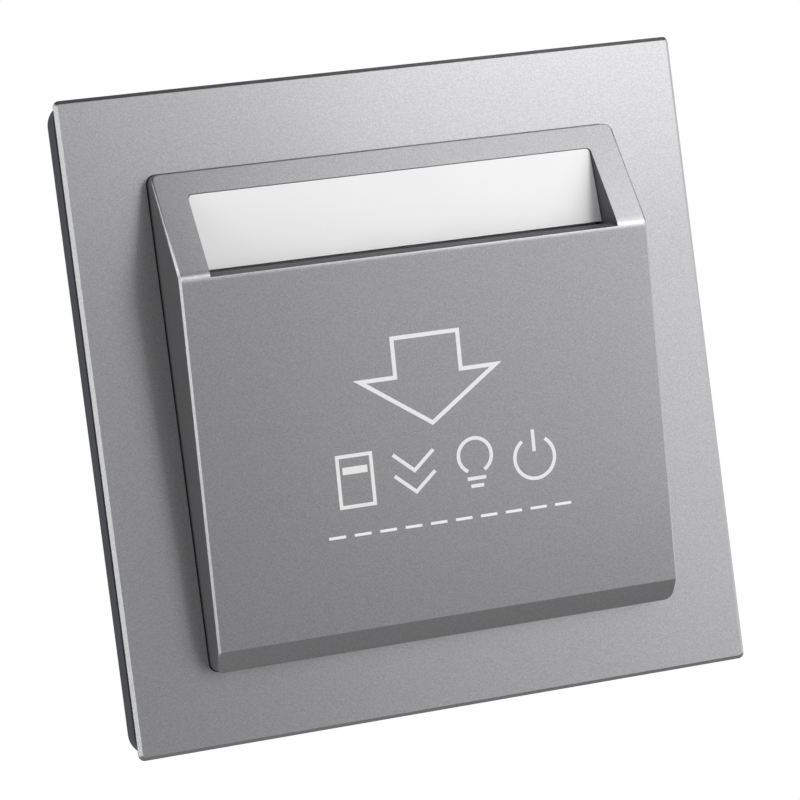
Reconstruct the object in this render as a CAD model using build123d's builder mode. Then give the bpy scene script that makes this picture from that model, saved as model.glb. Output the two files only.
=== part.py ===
from build123d import *

import os
from math import cos, pi, radians, tan

os.makedirs("parts", exist_ok=True)

# A hotel key card switch for a square wall box, in millimetres.
# X points right and Z up, seen from the room. The wall is the plane Y = 0 and the room lies at
# negative Y. A height is a distance off the wall towards the room, so it is negative in the wall.
# The origin is midway between the two wall screws.

# Front frame and the carrier plate behind it
frame_side = 10.85
frame_corner_radius = 0.8
frame_bevel = 0.5
frame_rim = 0.2
groove_height = 0.9
groove_depth = 1.0
frame_gap = 0.15
carrier_height = 3.9
carrier_corner_radius = 3.0
carrier_floor = 1.5
carrier_rim = 1.8
collar_width = 2.9
rib_width = 1.0
ribs_each_side = 5
rib_pitch = 13.0
opening_side_gap = 0.7
opening_head_gap = 0.2
opening_foot_gap = 1.2
opening_radius = 2.0

# Housing: the raised middle with the card pocket
housing_top = 32.05
housing_bottom = 32.93
housing_wall = 1.3
housing_corner_radius = 1.1
housing_edge_radius = 0.3
pocket_depth = 7.84
ridge_level = 18.32
ridge_radius = 2.5
slope_angle = 31.92
front_angle = 5.65
chin_level = 30.0
chin_angle = 45.0
facing_share = 0.1

# Card mouth, card and pocket
card_width = 54.0
card_play = 1.0
mouth_edge_height = 1.187
mouth_corner_radius = 0.6
lip_rise = 0.25
lip_slope_share = 0.46
cheek_width = 1.2
side_channel = 1.65
card_rib_height = 0.8
card_rib_width = 1.2
card_rib_spread = 7.0
card_rib_top = 8.0
card_rib_bottom = 28.0

# Light panel and light guide
panel_sink = 0.1
panel_rise = 2.4
panel_foot_gap = 0.43
panel_gap = 0.1
panel_peg_radius = 1.0
panel_peg_margin = 2.4
light_window_margin = 5.5
light_window_foot = 0.4
light_window_head = 1.7
light_flange = 1.0
light_flange_overlap = 0.6
light_stem_margin = 2.0
light_stem_depth = 3.0
light_stem_end = -0.4

# Card guide, the rear wall of the pocket
guide_over_pivot = 4.0
guide_wall = 1.5
guide_gap = 0.25
guide_foot_gap = 0.6
leg_radius = 1.6
leg_side_margin = 4.45
leg_top_margin = 3.7
leg_bottom_margin = 4.63

# Card lever with its pin and return spring
pivot_over_switch = 2.7
pivot_level = -7.0
pin_radius = 1.0
pin_overhang = 0.5
lever_hub_radius = 2.0
lever_width = 8.0
lever_arm_drop = 0.9
lever_arm_thickness = 2.0
lever_end = -20.2
nose_width = 6.0
nose_gap = 0.34
nose_top = -14.2
nose_shoulder_drop = 0.6
nose_tip_top = -18.4
nose_tip_bottom = -19.4
nose_slot_gap = 0.4
nose_slot_top = -13.4
nose_slot_bottom = -21.8
pad_gap = 0.15
pad_width = 1.8
ear_width = 1.6
ear_radius = 2.2
ear_gap = 0.3
spring_level = -18.8
spring_radius = 1.8
spring_wire_radius = 0.2
spring_turns = 5
spring_peg_radius = 1.2
spring_peg_height = 0.8
spring_end_gap = 0.1
shelf_height = -2.5
shelf_thickness = 1.4
shelf_width = 8.0
shelf_reach = 6.2

# Circuit board
board_height = -5.0
board_thickness = 1.6
board_gap = 1.3
board_corner_radius = 1.0
lead_pitch = 2.54
lead_radius = 0.4
lead_hole_radius = 0.55
lead_overhang = 1.2

# Microswitch
switch_length = 12.8
switch_width = 5.8
switch_body = 6.5
switch_edge = 0.4
plunger_level = -10.5
plunger_length = 2.9
plunger_width = 1.6
plunger_proud = 0.8
plunger_depth = 2.4
plunger_gap = 0.1
plunger_travel_room = 1.2

# Rear box
box_wall = 1.6
box_floor = 1.8
box_corner_radius = 2.6
boss_radius = 2.4
boss_gap = 0.65
boss_room = 0.8
box_screw_radius = 1.35
box_screw_gap = 0.05
box_screw_clearance = 0.25
box_screw_head_radius = 2.4
box_screw_head = 1.6
box_screw_length = 18.5
box_screw_spare = 1.0
driver_slot_width = 0.8
driver_slot_depth = 0.9
vent_length = 12.0
vent_width = 1.4
vent_pitch = 4.0
vents = 4

# Wall screws
wall_screw_spacing = 60.3
wall_screw_radius = 2.0
wall_screw_neck_radius = 1.75
wall_screw_length = 25.0
wall_screw_head_radius = 3.8
wall_screw_head = 2.2
wall_screw_edge = 0.5
wall_slot_width = 4.5
wall_slot_length = 7.0
head_room = 1.0

# Clips: on the frame at its left and right, on the housing at its top and bottom
clip_width = 7.0
clip_thickness = 1.2
clip_spread = 20.0
clip_gap = 0.15
clip_nib = 0.5
clip_nib_height = 0.8
clip_floor_gap = 0.25
hook_spread = 18.0
hook_root = 2.4

# Terminals
terminals = 3
terminal_pitch = 11.7
block_wall = 1.2
block_end_wall = 1.8
block_gap = 0.1
chamber_width = 7.8
chamber_length = 7.4
cage_width = 7.4
cage_length = 6.6
cage_wall = 1.0
cage_nut_wall = 1.6
thread_pitch = 0.7
thread_gap = 0.05
tightening_turns = 6
wire_space = 4.4
wire_window_width = 5.6
wire_window_margin = 0.1
bar_width = 4.6
bar_thickness = 0.8
bar_gap = 0.2
bar_tail_width = 2.4
terminal_screw_radius = 1.75
terminal_head_radius = 3.1
terminal_head = 2.0
terminal_head_gap = 0.3
driver_hole_radius = 2.6
driver_hole_flare = 0.3

# Relay
relay_x = -10.4
relay_z = 8.3
relay_length = 19.2
relay_width = 15.4
relay_room = 2.3
relay_base_thickness = 2.0
relay_wall = 0.9
relay_edge = 0.5
coil_flange_radius = 4.3
coil_flange = 1.0
coil_radius = 3.9
coil_length = 9.0
core_radius = 1.5
core_gap = 0.05
pole_rise = 0.3
yoke_thickness = 1.1
yoke_width = 8.6
yoke_side_gap = 0.3
armature_thickness = 1.0
armature_air_gap = 0.5
armature_edge_gap = 0.1
armature_reach = 3.4
blade_thickness = 0.3
blade_width = 3.0
blade_reach = 2.6
blade_room = 0.2
contact_radius = 1.1
contact_thickness = 0.6
contact_gap = 0.85
contact_post_width = 0.8

# Other components on the board, with their middles as X and Z
film_capacitor_length = 17.5
film_capacitor_width = 5.6
film_capacitor_height = 11.5
film_capacitor_place = (9.2, 14.4)
smoothing_radius = 4.0
smoothing_height = 12.0
smoothing_place = (4.6, 6.2)
varistor_radius = 3.6
varistor_thickness = 3.4
varistor_place = (14.4, 6.2)
rectifier_length = 8.3
rectifier_width = 6.4
rectifier_height = 3.2
rectifier_place = (14.6, -4.6)
chip_length = 9.4
chip_width = 6.2
chip_height = 3.3
chip_place = (-14.6, -5.6)
resistor_radius = 1.15
resistor_length = 6.3
resistor_place = (0.6, -1.1)
resistor_pitch = 2.8
resistors_fitted = 3
light_radius = 1.5
light_height = 3.4
light_collar = 0.6
light_spread = 9.0
light_level = 19.9
component_edge = 0.5

overrun = 5.0

# Places that follow from the sizes above
card_space = card_width + 2 * card_play
housing_width = card_space + 2 * (cheek_width + side_channel + housing_wall)
frame_width = housing_width + 2 * frame_side
face_height = carrier_height + groove_height + frame_rim + frame_bevel
housing_length = housing_top + housing_bottom
housing_middle = (housing_top - housing_bottom) / 2
inner_half_width = housing_width / 2 - housing_wall
inner_length = housing_length - 2 * housing_wall
collar_outer = inner_half_width + collar_width
front_wall = housing_wall / cos(radians(front_angle))
slope_wall = housing_wall / cos(radians(slope_angle))
board_rear = board_height - board_thickness

# The microswitch sets the height of the lever, which sets the pocket's rear wall and so the ridge
switch_top = board_height + switch_body
pivot_height = switch_top + pivot_over_switch
lever_arm_rear = pivot_height - lever_arm_drop
pad_height = lever_arm_rear - switch_top - plunger_proud - pad_gap
guide_height = pivot_height + guide_over_pivot
guide_rear = guide_height - guide_wall
nose_shoulder = guide_height - nose_shoulder_drop
ridge_height = guide_height + pocket_depth
mouth_top = ridge_level + (pocket_depth - mouth_edge_height) / tan(radians(slope_angle))
lip_back_level = ridge_level + lip_rise
panel_top = mouth_top - panel_gap
panel_bottom = lip_back_level + panel_foot_gap
panel_bottom_height = guide_height + panel_rise
panel_peg_spread = card_space / 2 - panel_peg_margin
light_window_width = card_space - 2 * light_window_margin
light_window_bottom = panel_bottom + light_window_foot
light_window_top = panel_top - light_window_head
light_window_level = (light_window_top + light_window_bottom) / 2
light_stem_bottom = light_window_bottom - light_flange_overlap

# The relay's coil sets its height, which sets the depth of the box
moving_height = armature_air_gap + armature_thickness + blade_thickness + blade_room
relay_height = relay_base_thickness + yoke_thickness + coil_length + pole_rise + moving_height + relay_wall
box_inner = board_rear - relay_height - relay_room
box_depth = box_floor - box_inner

# The row of terminals sets the spread of the bosses, and the bosses set the box and the board
boss_spread = terminals * terminal_pitch / 2 + boss_gap + boss_radius
box_inner_half = boss_spread + boss_radius + boss_room
box_width = 2 * (box_inner_half + box_wall)
board_width = 2 * (box_inner_half - board_gap)
opening_width = 2 * (boss_spread - boss_radius - opening_side_gap)
opening_top = light_stem_bottom + light_stem_depth + opening_head_gap
opening_bottom = spring_level - spring_radius - spring_wire_radius - opening_foot_gap
light_stem_width = opening_width - 2 * light_stem_margin

# Planes seen from the room, with X to the right and Z up, at the origin and at the housing's middle
room = Plane.front
middle = Plane.front.shift_origin((0, 0, housing_middle))
# The side plane has the height as its first coordinate and Z as its second
side = Plane.left


def front_line(level):
    """Height of the housing's front face at a level Z."""
    return ridge_height - (ridge_level - level) * tan(radians(front_angle))


def slope_line(level):
    """Height of the housing's sloped top at a level Z."""
    return ridge_height - (level - ridge_level) * tan(radians(slope_angle))


def housing_profile(rear):
    """The housing's outline from the side, from the given rear height."""
    chin_front = front_line(-chin_level)
    chin_rear = chin_front - (housing_bottom - chin_level) * tan(radians(chin_angle))
    return [
        (rear, housing_top),
        (slope_line(housing_top), housing_top),
        (ridge_height, ridge_level),
        (chin_front, -chin_level),
        (chin_rear, -housing_bottom),
        (rear, -housing_bottom),
    ]


# Front frame: a thin bevelled plate that clips over the carrier
with BuildPart() as front_frame:
    with BuildSketch(room.offset(carrier_height + groove_height)):
        RectangleRounded(frame_width, frame_width, frame_corner_radius)
    extrude(amount=frame_rim + frame_bevel)
    chamfer(front_frame.faces().sort_by(Axis.Y)[0].edges(), length=frame_bevel)
    with BuildSketch(room.offset(carrier_height)):
        Rectangle(frame_width - 2 * groove_depth, frame_width - 2 * groove_depth)
    extrude(amount=groove_height)
    with BuildSketch(middle.offset(carrier_height)):
        RectangleRounded(
            housing_width + 2 * frame_gap,
            housing_length + 2 * frame_gap,
            housing_corner_radius + frame_gap,
        )
    extrude(amount=face_height, mode=Mode.SUBTRACT)
    clip_middle = collar_outer + clip_gap + clip_thickness / 2
    clip_end = carrier_floor + clip_floor_gap
    with BuildSketch(room.offset(clip_end)):
        with GridLocations(2 * clip_middle, 2 * clip_spread, 2, 2):
            Rectangle(clip_thickness, clip_width)
    extrude(amount=carrier_height - clip_end)
    with BuildSketch(room.offset(clip_end)):
        with GridLocations(2 * collar_outer + 2 * clip_gap, 2 * clip_spread, 2, 2):
            Rectangle(2 * clip_nib, clip_width)
    extrude(amount=clip_nib_height)
front_frame.part.label = "front_frame"
export_step(front_frame.part, "parts/front_frame.step")

# Carrier: a shallow tray against the wall, whose collar carries the housing and the frame
with BuildPart() as carrier:
    with BuildSketch(room):
        RectangleRounded(frame_width, frame_width, carrier_corner_radius)
    extrude(amount=carrier_height)
    with BuildSketch(room.offset(carrier_floor)):
        RectangleRounded(
            frame_width - 2 * carrier_rim,
            frame_width - 2 * carrier_rim,
            carrier_corner_radius - carrier_rim,
        )
    extrude(amount=carrier_height, mode=Mode.SUBTRACT)
    with BuildSketch(room.offset(carrier_floor)):
        rib_length = frame_width / 2 - carrier_rim / 2 - collar_outer + collar_width / 2
        rib_middle = (frame_width / 2 - carrier_rim / 2 + collar_outer - collar_width / 2) / 2
        with GridLocations(2 * rib_middle, rib_pitch, 2, ribs_each_side):
            Rectangle(rib_length, rib_width)
        with GridLocations(rib_pitch, 2 * rib_middle, ribs_each_side, 2):
            Rectangle(rib_width, rib_length)
    extrude(amount=carrier_height - carrier_floor)
    with BuildSketch(middle.offset(carrier_floor)):
        Rectangle(2 * collar_outer, inner_length + 2 * collar_width)
        Rectangle(2 * inner_half_width, inner_length, mode=Mode.SUBTRACT)
    extrude(amount=carrier_height - carrier_floor)
    # Room for the clips beside the collar and for the heads of the wall screws
    with BuildSketch(room.offset(carrier_floor)):
        with GridLocations(2 * clip_middle, 2 * clip_spread, 2, 2):
            Rectangle(clip_thickness + 2 * clip_gap, clip_width + 2 * clip_gap)
        with GridLocations(wall_screw_spacing, 0, 2, 1):
            Rectangle(2 * wall_screw_head_radius + 2 * head_room, 2 * wall_screw_head_radius + 2 * head_room)
    extrude(amount=carrier_height, mode=Mode.SUBTRACT)
    # Notches in the collar: outside for the frame's clips, inside for the housing's hooks
    notch = 2 * clip_nib + 2 * clip_gap
    with BuildSketch(room.offset(carrier_floor)):
        with GridLocations(2 * collar_outer, 2 * clip_spread, 2, 2):
            Rectangle(notch, clip_width + 2 * clip_gap)
    extrude(amount=clip_floor_gap + clip_nib_height + clip_gap, mode=Mode.SUBTRACT)
    with BuildSketch(middle.offset(carrier_floor)):
        with GridLocations(2 * hook_spread, inner_length, 2, 2):
            Rectangle(clip_width + 2 * clip_gap, notch)
    extrude(amount=clip_floor_gap + clip_nib_height + clip_gap, mode=Mode.SUBTRACT)
    # Posts down to the circuit board
    with BuildSketch(room.offset(board_height)):
        with GridLocations(2 * boss_spread, 2 * boss_spread, 2, 2):
            Circle(boss_radius)
    extrude(amount=-board_height)
    # Shelf and peg for the lever's return spring
    with BuildSketch(side):
        Polygon(
            (shelf_height - shelf_thickness, opening_bottom - shelf_thickness),
            (shelf_height - shelf_thickness, opening_bottom + shelf_reach),
            (shelf_height, opening_bottom + shelf_reach),
            (shelf_height, opening_bottom),
            (carrier_floor, opening_bottom),
            (carrier_floor, opening_bottom - shelf_thickness),
        )
    extrude(amount=shelf_width / 2, both=True)
    with BuildSketch(room.offset(shelf_height)):
        with Locations((0, spring_level)):
            Circle(spring_peg_radius)
    extrude(amount=spring_peg_height)
    # Openings for the works, the board screws and the wall screws
    with BuildSketch(room):
        with Locations((0, (opening_top + opening_bottom) / 2)):
            RectangleRounded(opening_width, opening_top - opening_bottom, opening_radius)
        with GridLocations(wall_screw_spacing, 0, 2, 1):
            SlotOverall(wall_slot_length, wall_slot_width)
    extrude(amount=carrier_floor, mode=Mode.SUBTRACT)
    with BuildSketch(room.offset(board_height)):
        with GridLocations(2 * boss_spread, 2 * boss_spread, 2, 2):
            Circle(box_screw_radius + box_screw_clearance)
    extrude(amount=carrier_floor - board_height, mode=Mode.SUBTRACT)
carrier.part.label = "carrier_plate"
export_step(carrier.part, "parts/carrier_plate.step")

# Housing: a shell with a sloped top, a ridge and a tilted front, open at the rear
with BuildPart() as housing:
    with BuildSketch(side):
        Polygon(*housing_profile(carrier_height))
    extrude(amount=housing_width / 2, both=True)
    with BuildSketch(middle):
        RectangleRounded(housing_width, housing_length, housing_corner_radius)
    extrude(amount=ridge_height + overrun, mode=Mode.INTERSECT)
    fillet(housing.edges().filter_by(Axis.X).sort_by(Axis.Y)[0], radius=ridge_radius)
    # The edge that runs round the front belongs to just one of the faces that look into the room
    front_faces = housing.faces().filter_by(lambda face: face.normal_at().Y < -facing_share)
    seen = [edge for face in front_faces for edge in face.edges()]
    rim = [edge for edge in seen if sum(edge.is_same(other) for other in seen) == 1]
    fillet(rim, radius=housing_edge_radius)
    with BuildSketch(side):
        Polygon(*housing_profile(carrier_height - housing_wall - overrun))
        offset(amount=-housing_wall, kind=Kind.INTERSECTION)
    extrude(amount=inner_half_width, both=True, mode=Mode.SUBTRACT)
    # Cheeks beside the card
    for hand in (-1, 1):
        with BuildSketch(side.offset(hand * (card_space + cheek_width) / 2)):
            Polygon(*housing_profile(carrier_height))
            offset(amount=-housing_wall / 2, kind=Kind.INTERSECTION)
            with Locations((guide_height + panel_gap, 0)):
                Rectangle(ridge_height, 2 * housing_length, align=(Align.MAX, Align.CENTER),
                          mode=Mode.SUBTRACT)
        extrude(amount=cheek_width / 2, both=True)
    # Ribs that keep the card off the front wall where the lever's nose comes through
    for hand in (-1, 1):
        with BuildSketch(side.offset(hand * card_rib_spread)):
            Polygon(
                (front_line(-card_rib_top) - front_wall / 2, -card_rib_top),
                (front_line(-card_rib_bottom) - front_wall / 2, -card_rib_bottom),
                (front_line(-card_rib_bottom) - front_wall - card_rib_height, -card_rib_bottom),
                (front_line(-card_rib_top) - front_wall - card_rib_height, -card_rib_top),
            )
        extrude(amount=card_rib_width / 2, both=True)
    # Card mouth, cut down through the slope and the ridge to the lip
    with BuildSketch(room.offset(carrier_height)):
        with Locations((0, (mouth_top + lip_back_level) / 2)):
            mouth = Rectangle(card_space, mouth_top - lip_back_level)
        fillet(mouth.vertices().group_by(Axis.Y)[-1], radius=mouth_corner_radius)
    extrude(amount=ridge_height, mode=Mode.SUBTRACT)
    lip_back = front_line(lip_back_level) - front_wall
    lip_front = ridge_height + overrun
    with BuildSketch(side):
        Polygon(
            (lip_back, lip_back_level),
            (lip_front, lip_back_level - (lip_front - lip_back) * lip_slope_share),
            (lip_front, lip_back_level + overrun),
            (lip_back, lip_back_level + overrun),
        )
    extrude(amount=card_space / 2, both=True, mode=Mode.SUBTRACT)
    # Hooks at top and bottom, that reach back inside the carrier's collar
    hook_offset = inner_length / 2 - clip_gap - clip_thickness / 2
    with BuildSketch(middle.offset(carrier_floor + clip_floor_gap)):
        with GridLocations(2 * hook_spread, 2 * hook_offset, 2, 2):
            Rectangle(clip_width, clip_thickness)
    extrude(amount=carrier_height + hook_root - carrier_floor - clip_floor_gap)
    with BuildSketch(middle.offset(carrier_floor + clip_floor_gap)):
        with GridLocations(2 * hook_spread, inner_length - 2 * clip_gap, 2, 2):
            Rectangle(clip_width, 2 * clip_nib)
    extrude(amount=clip_nib_height)
    with BuildSketch(middle.offset(carrier_height + clip_gap)):
        with GridLocations(2 * hook_spread, inner_length, 2, 2):
            Rectangle(clip_width, 2 * clip_gap + clip_thickness)
    extrude(amount=hook_root - clip_gap)
housing.part.label = "housing"
export_step(housing.part, "parts/housing.step")

# Light panel: the white plate behind the mouth, which glows in the dark
panel_top_height = slope_line(panel_top) - panel_sink
with BuildPart() as light_panel:
    with BuildSketch(side):
        Polygon(
            (guide_height, panel_top),
            (panel_top_height, panel_top),
            (panel_bottom_height, panel_bottom),
            (guide_height, panel_bottom),
        )
    extrude(amount=card_space / 2 - panel_gap, both=True)
    top_corners = light_panel.edges().filter_by(Axis.Y).group_by(Axis.Z)[-1]
    fillet(top_corners, radius=mouth_corner_radius)
    with BuildSketch(room.offset(guide_height)):
        with Locations((0, light_window_level)):
            with GridLocations(2 * panel_peg_spread, 0, 2, 1):
                Circle(panel_peg_radius)
    extrude(amount=-guide_wall)
light_panel.part.label = "light_panel"
export_step(light_panel.part, "parts/light_panel.step")

# Card guide: the pocket's rear wall, with ears for the lever and legs down to the carrier
guide_top = ridge_level + (ridge_height - slope_wall - guide_height) / tan(radians(slope_angle)) - guide_gap
guide_bottom = housing_bottom - housing_wall - guide_foot_gap
leg_spread = inner_half_width - leg_side_margin
leg_top_level = guide_top - leg_top_margin
leg_bottom_level = guide_bottom - leg_bottom_margin
ear_middle = lever_width / 2 + ear_gap + ear_width / 2
with BuildPart() as card_guide:
    with BuildSketch(room.offset(guide_rear)):
        with Locations((0, (guide_top - guide_bottom) / 2)):
            Rectangle(2 * inner_half_width - 2 * guide_gap, guide_top + guide_bottom)
        with Locations((0, (nose_slot_top + nose_slot_bottom) / 2)):
            Rectangle(nose_width + 2 * nose_slot_gap, nose_slot_top - nose_slot_bottom, mode=Mode.SUBTRACT)
        with Locations((0, light_window_level)):
            Rectangle(light_window_width, light_window_top - light_window_bottom, mode=Mode.SUBTRACT)
        with Locations((0, light_window_level)):
            with GridLocations(2 * panel_peg_spread, 0, 2, 1):
                Circle(panel_peg_radius + panel_gap, mode=Mode.SUBTRACT)
    extrude(amount=guide_wall)
    with BuildSketch(room.offset(carrier_floor)):
        with Locations((-leg_spread, leg_top_level), (leg_spread, leg_top_level)):
            Circle(leg_radius)
        with Locations((-leg_spread, -leg_bottom_level), (leg_spread, -leg_bottom_level)):
            Circle(leg_radius)
    extrude(amount=guide_rear - carrier_floor)
    for hand in (-1, 1):
        with BuildSketch(side.offset(hand * ear_middle)):
            with Locations((pivot_height, pivot_level)):
                Circle(ear_radius)
                Rectangle(guide_rear - pivot_height, 2 * ear_radius, align=(Align.MIN, Align.CENTER))
                Circle(pin_radius + thread_gap, mode=Mode.SUBTRACT)
        extrude(amount=ear_width / 2, both=True)
card_guide.part.label = "card_guide"
export_step(card_guide.part, "parts/card_guide.step")

# Light guide: a clear block that leads light from the board to the panel
with BuildPart() as light_guide:
    with BuildSketch(room.offset(guide_rear)):
        with Locations((0, light_window_level)):
            Rectangle(light_window_width - 2 * panel_gap,
                      light_window_top - light_window_bottom - 2 * panel_gap)
    extrude(amount=guide_wall - panel_gap)
    with BuildSketch(room.offset(guide_rear - light_flange)):
        with Locations((0, light_window_level)):
            Rectangle(light_window_width + 2 * light_flange_overlap,
                      light_window_top - light_window_bottom + 2 * light_flange_overlap)
    extrude(amount=light_flange)
    with BuildSketch(room.offset(light_stem_end)):
        with Locations((0, light_stem_bottom + light_stem_depth / 2)):
            Rectangle(light_stem_width, light_stem_depth)
    extrude(amount=guide_rear - light_stem_end - light_flange / 2)
light_guide.part.label = "light_guide"
export_step(light_guide.part, "parts/light_guide.step")

# Card lever: the card pushes its nose back, and its pad presses the microswitch
nose_tip = front_line(nose_tip_bottom) - front_wall - nose_gap
with BuildPart() as card_lever:
    with BuildSketch(side):
        with Locations((pivot_height, pivot_level)):
            Circle(lever_hub_radius)
        with Locations((lever_arm_rear, lever_end)):
            Rectangle(lever_arm_thickness, pivot_level - lever_end, align=(Align.MIN, Align.MIN))
        with Locations((lever_arm_rear, plunger_level)):
            Rectangle(pad_height, pad_width, align=(Align.MAX, Align.CENTER))
    extrude(amount=lever_width / 2, both=True)
    with BuildSketch(side):
        Polygon(
            (pivot_height, lever_end),
            (pivot_height, nose_top),
            (nose_shoulder, nose_top),
            (nose_tip, nose_tip_top),
            (nose_tip, nose_tip_bottom),
            (nose_shoulder, lever_end),
        )
    extrude(amount=nose_width / 2, both=True)
    with BuildSketch(room.offset(lever_arm_rear)):
        with Locations((0, spring_level)):
            Circle(spring_peg_radius)
    extrude(amount=-spring_peg_height)
    with BuildSketch(side):
        with Locations((pivot_height, pivot_level)):
            Circle(pin_radius + thread_gap)
    extrude(amount=lever_width, both=True, mode=Mode.SUBTRACT)
card_lever.part.label = "card_lever"
export_step(card_lever.part, "parts/card_lever.step")

# Lever pin
with BuildPart() as lever_pin:
    with BuildSketch(side):
        with Locations((pivot_height, pivot_level)):
            Circle(pin_radius)
    extrude(amount=ear_middle + ear_width / 2 + pin_overhang, both=True)
lever_pin.part.label = "lever_pin"
export_step(lever_pin.part, "parts/lever_pin.step")

# Return spring: an open coil between the shelf's peg and the lever's peg
coil_height = lever_arm_rear - shelf_height - 2 * spring_end_gap - 2 * spring_wire_radius
coil_start = (0, -(shelf_height + spring_end_gap + spring_wire_radius), spring_level)
with BuildPart() as lever_spring:
    with BuildLine():
        coil = Helix(coil_height / spring_turns, coil_height, spring_radius,
                     center=coil_start, direction=-Axis.Y.direction)
    with BuildSketch(Plane(origin=coil @ 0, z_dir=coil % 0)):
        Circle(spring_wire_radius)
    sweep(path=coil)
lever_spring.part.label = "lever_spring"
export_step(lever_spring.part, "parts/lever_spring.step")

# Microswitch: case, plunger and pins
switch_middle = plunger_level
switch_pins = [(count * lead_pitch, switch_middle) for count in (-2, 0, 2)]
with BuildPart() as microswitch_case:
    with BuildSketch(room.offset(board_height)):
        with Locations((0, switch_middle)):
            Rectangle(switch_length, switch_width)
    extrude(amount=switch_body)
    chamfer(microswitch_case.faces().sort_by(Axis.Y)[0].edges(), length=switch_edge)
    with BuildSketch(room.offset(switch_top)):
        with Locations((0, switch_middle)):
            Rectangle(plunger_length + 2 * plunger_gap, plunger_width + 2 * plunger_gap)
    extrude(amount=-plunger_depth - plunger_travel_room, mode=Mode.SUBTRACT)
microswitch_case.part.label = "microswitch_case"
export_step(microswitch_case.part, "parts/microswitch_case.step")

with BuildPart() as microswitch_plunger:
    with BuildSketch(room.offset(switch_top - plunger_depth)):
        with Locations((0, switch_middle)):
            Rectangle(plunger_length, plunger_width)
    extrude(amount=plunger_depth + plunger_proud)
    plunger_top = microswitch_plunger.faces().sort_by(Axis.Y)[0]
    fillet(plunger_top.edges(), radius=plunger_proud / 2)
microswitch_plunger.part.label = "microswitch_plunger"
export_step(microswitch_plunger.part, "parts/microswitch_plunger.step")

with BuildPart() as microswitch_pins:
    with BuildSketch(room.offset(board_height)):
        with Locations(switch_pins):
            Circle(lead_radius)
    extrude(amount=-board_thickness - lead_overhang)
microswitch_pins.part.label = "microswitch_pins"
export_step(microswitch_pins.part, "parts/microswitch_pins.step")

# Indicator lights on the front of the board, below the light guide
light_places = [(-light_spread, light_level), (light_spread, light_level)]
light_leads = [(x + count * lead_pitch / 2, z) for x, z in light_places for count in (-1, 1)]
with BuildPart() as indicator_lights:
    with BuildSketch(room.offset(board_height)):
        with Locations(light_places):
            Circle(light_radius + light_collar / 2)
    extrude(amount=light_collar)
    with BuildSketch(room.offset(board_height)):
        with Locations(light_places):
            Circle(light_radius)
    extrude(amount=light_height)
    domes = indicator_lights.faces().sort_by(Axis.Y)[:2].edges()
    fillet(domes, radius=light_radius / 2)
    with BuildSketch(room.offset(board_height)):
        with Locations(light_leads):
            Circle(lead_radius)
    extrude(amount=-board_thickness - lead_overhang)
indicator_lights.part.label = "indicator_lights"
export_step(indicator_lights.part, "parts/indicator_lights.step")

# Components on the rear of the board: each body stands on the board and its leads come through
film_leads = [(film_capacitor_place[0] + count * lead_pitch, film_capacitor_place[1]) for count in (-3, 3)]
with BuildPart() as film_capacitor:
    with BuildSketch(room.offset(board_rear)):
        with Locations(film_capacitor_place):
            Rectangle(film_capacitor_length, film_capacitor_width)
    extrude(amount=-film_capacitor_height)
    fillet(film_capacitor.faces().sort_by(Axis.Y)[-1].edges(), radius=component_edge)
    with BuildSketch(room.offset(board_rear)):
        with Locations(film_leads):
            Circle(lead_radius)
    extrude(amount=board_thickness + lead_overhang)
film_capacitor.part.label = "film_capacitor"
export_step(film_capacitor.part, "parts/film_capacitor.step")

smoothing_leads = [(smoothing_place[0] + count * lead_pitch / 2, smoothing_place[1]) for count in (-1, 1)]
with BuildPart() as smoothing_capacitor:
    with BuildSketch(room.offset(board_rear)):
        with Locations(smoothing_place):
            Circle(smoothing_radius)
    extrude(amount=-smoothing_height)
    fillet(smoothing_capacitor.faces().sort_by(Axis.Y)[-1].edges(), radius=component_edge)
    with BuildSketch(room.offset(board_rear)):
        with Locations(smoothing_leads):
            Circle(lead_radius)
    extrude(amount=board_thickness + lead_overhang)
smoothing_capacitor.part.label = "smoothing_capacitor"
export_step(smoothing_capacitor.part, "parts/smoothing_capacitor.step")

varistor_leads = [(varistor_place[0] + count * lead_pitch, varistor_place[1]) for count in (-1, 1)]
with BuildPart() as varistor:
    with BuildSketch(Plane.XY.offset(varistor_place[1])):
        with Locations((varistor_place[0], -board_rear + varistor_radius)):
            Circle(varistor_radius)
    extrude(amount=varistor_thickness / 2, both=True)
    fillet(varistor.edges(), radius=component_edge)
    with BuildSketch(room.offset(board_rear - varistor_radius)):
        with Locations(varistor_leads):
            Circle(lead_radius)
    extrude(amount=varistor_radius + board_thickness + lead_overhang)
varistor.part.label = "varistor"
export_step(varistor.part, "parts/varistor.step")

rectifier_leads = [(rectifier_place[0] + along * lead_pitch, rectifier_place[1] + across * lead_pitch)
                   for along in (-1, 1) for across in (-1, 1)]
with BuildPart() as rectifier:
    with BuildSketch(room.offset(board_rear)):
        with Locations(rectifier_place):
            Rectangle(rectifier_length, rectifier_width)
    extrude(amount=-rectifier_height)
    chamfer(rectifier.faces().sort_by(Axis.Y)[-1].edges(), length=component_edge)
    with BuildSketch(room.offset(board_rear)):
        with Locations(rectifier_leads):
            Circle(lead_radius)
    extrude(amount=board_thickness + lead_overhang)
rectifier.part.label = "rectifier"
export_step(rectifier.part, "parts/rectifier.step")

chip_leads = [(chip_place[0] + (count - 3 / 2) * lead_pitch, chip_place[1] + across * lead_pitch)
              for count in range(4) for across in (-1, 1)]
with BuildPart() as timer_chip:
    with BuildSketch(room.offset(board_rear)):
        with Locations(chip_place):
            Rectangle(chip_length, chip_width)
    extrude(amount=-chip_height)
    chamfer(timer_chip.faces().sort_by(Axis.Y)[-1].edges(), length=component_edge)
    with BuildSketch(room.offset(board_rear)):
        with Locations(chip_leads):
            Circle(lead_radius)
    extrude(amount=board_thickness + lead_overhang)
timer_chip.part.label = "timer_chip"
export_step(timer_chip.part, "parts/timer_chip.step")

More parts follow.
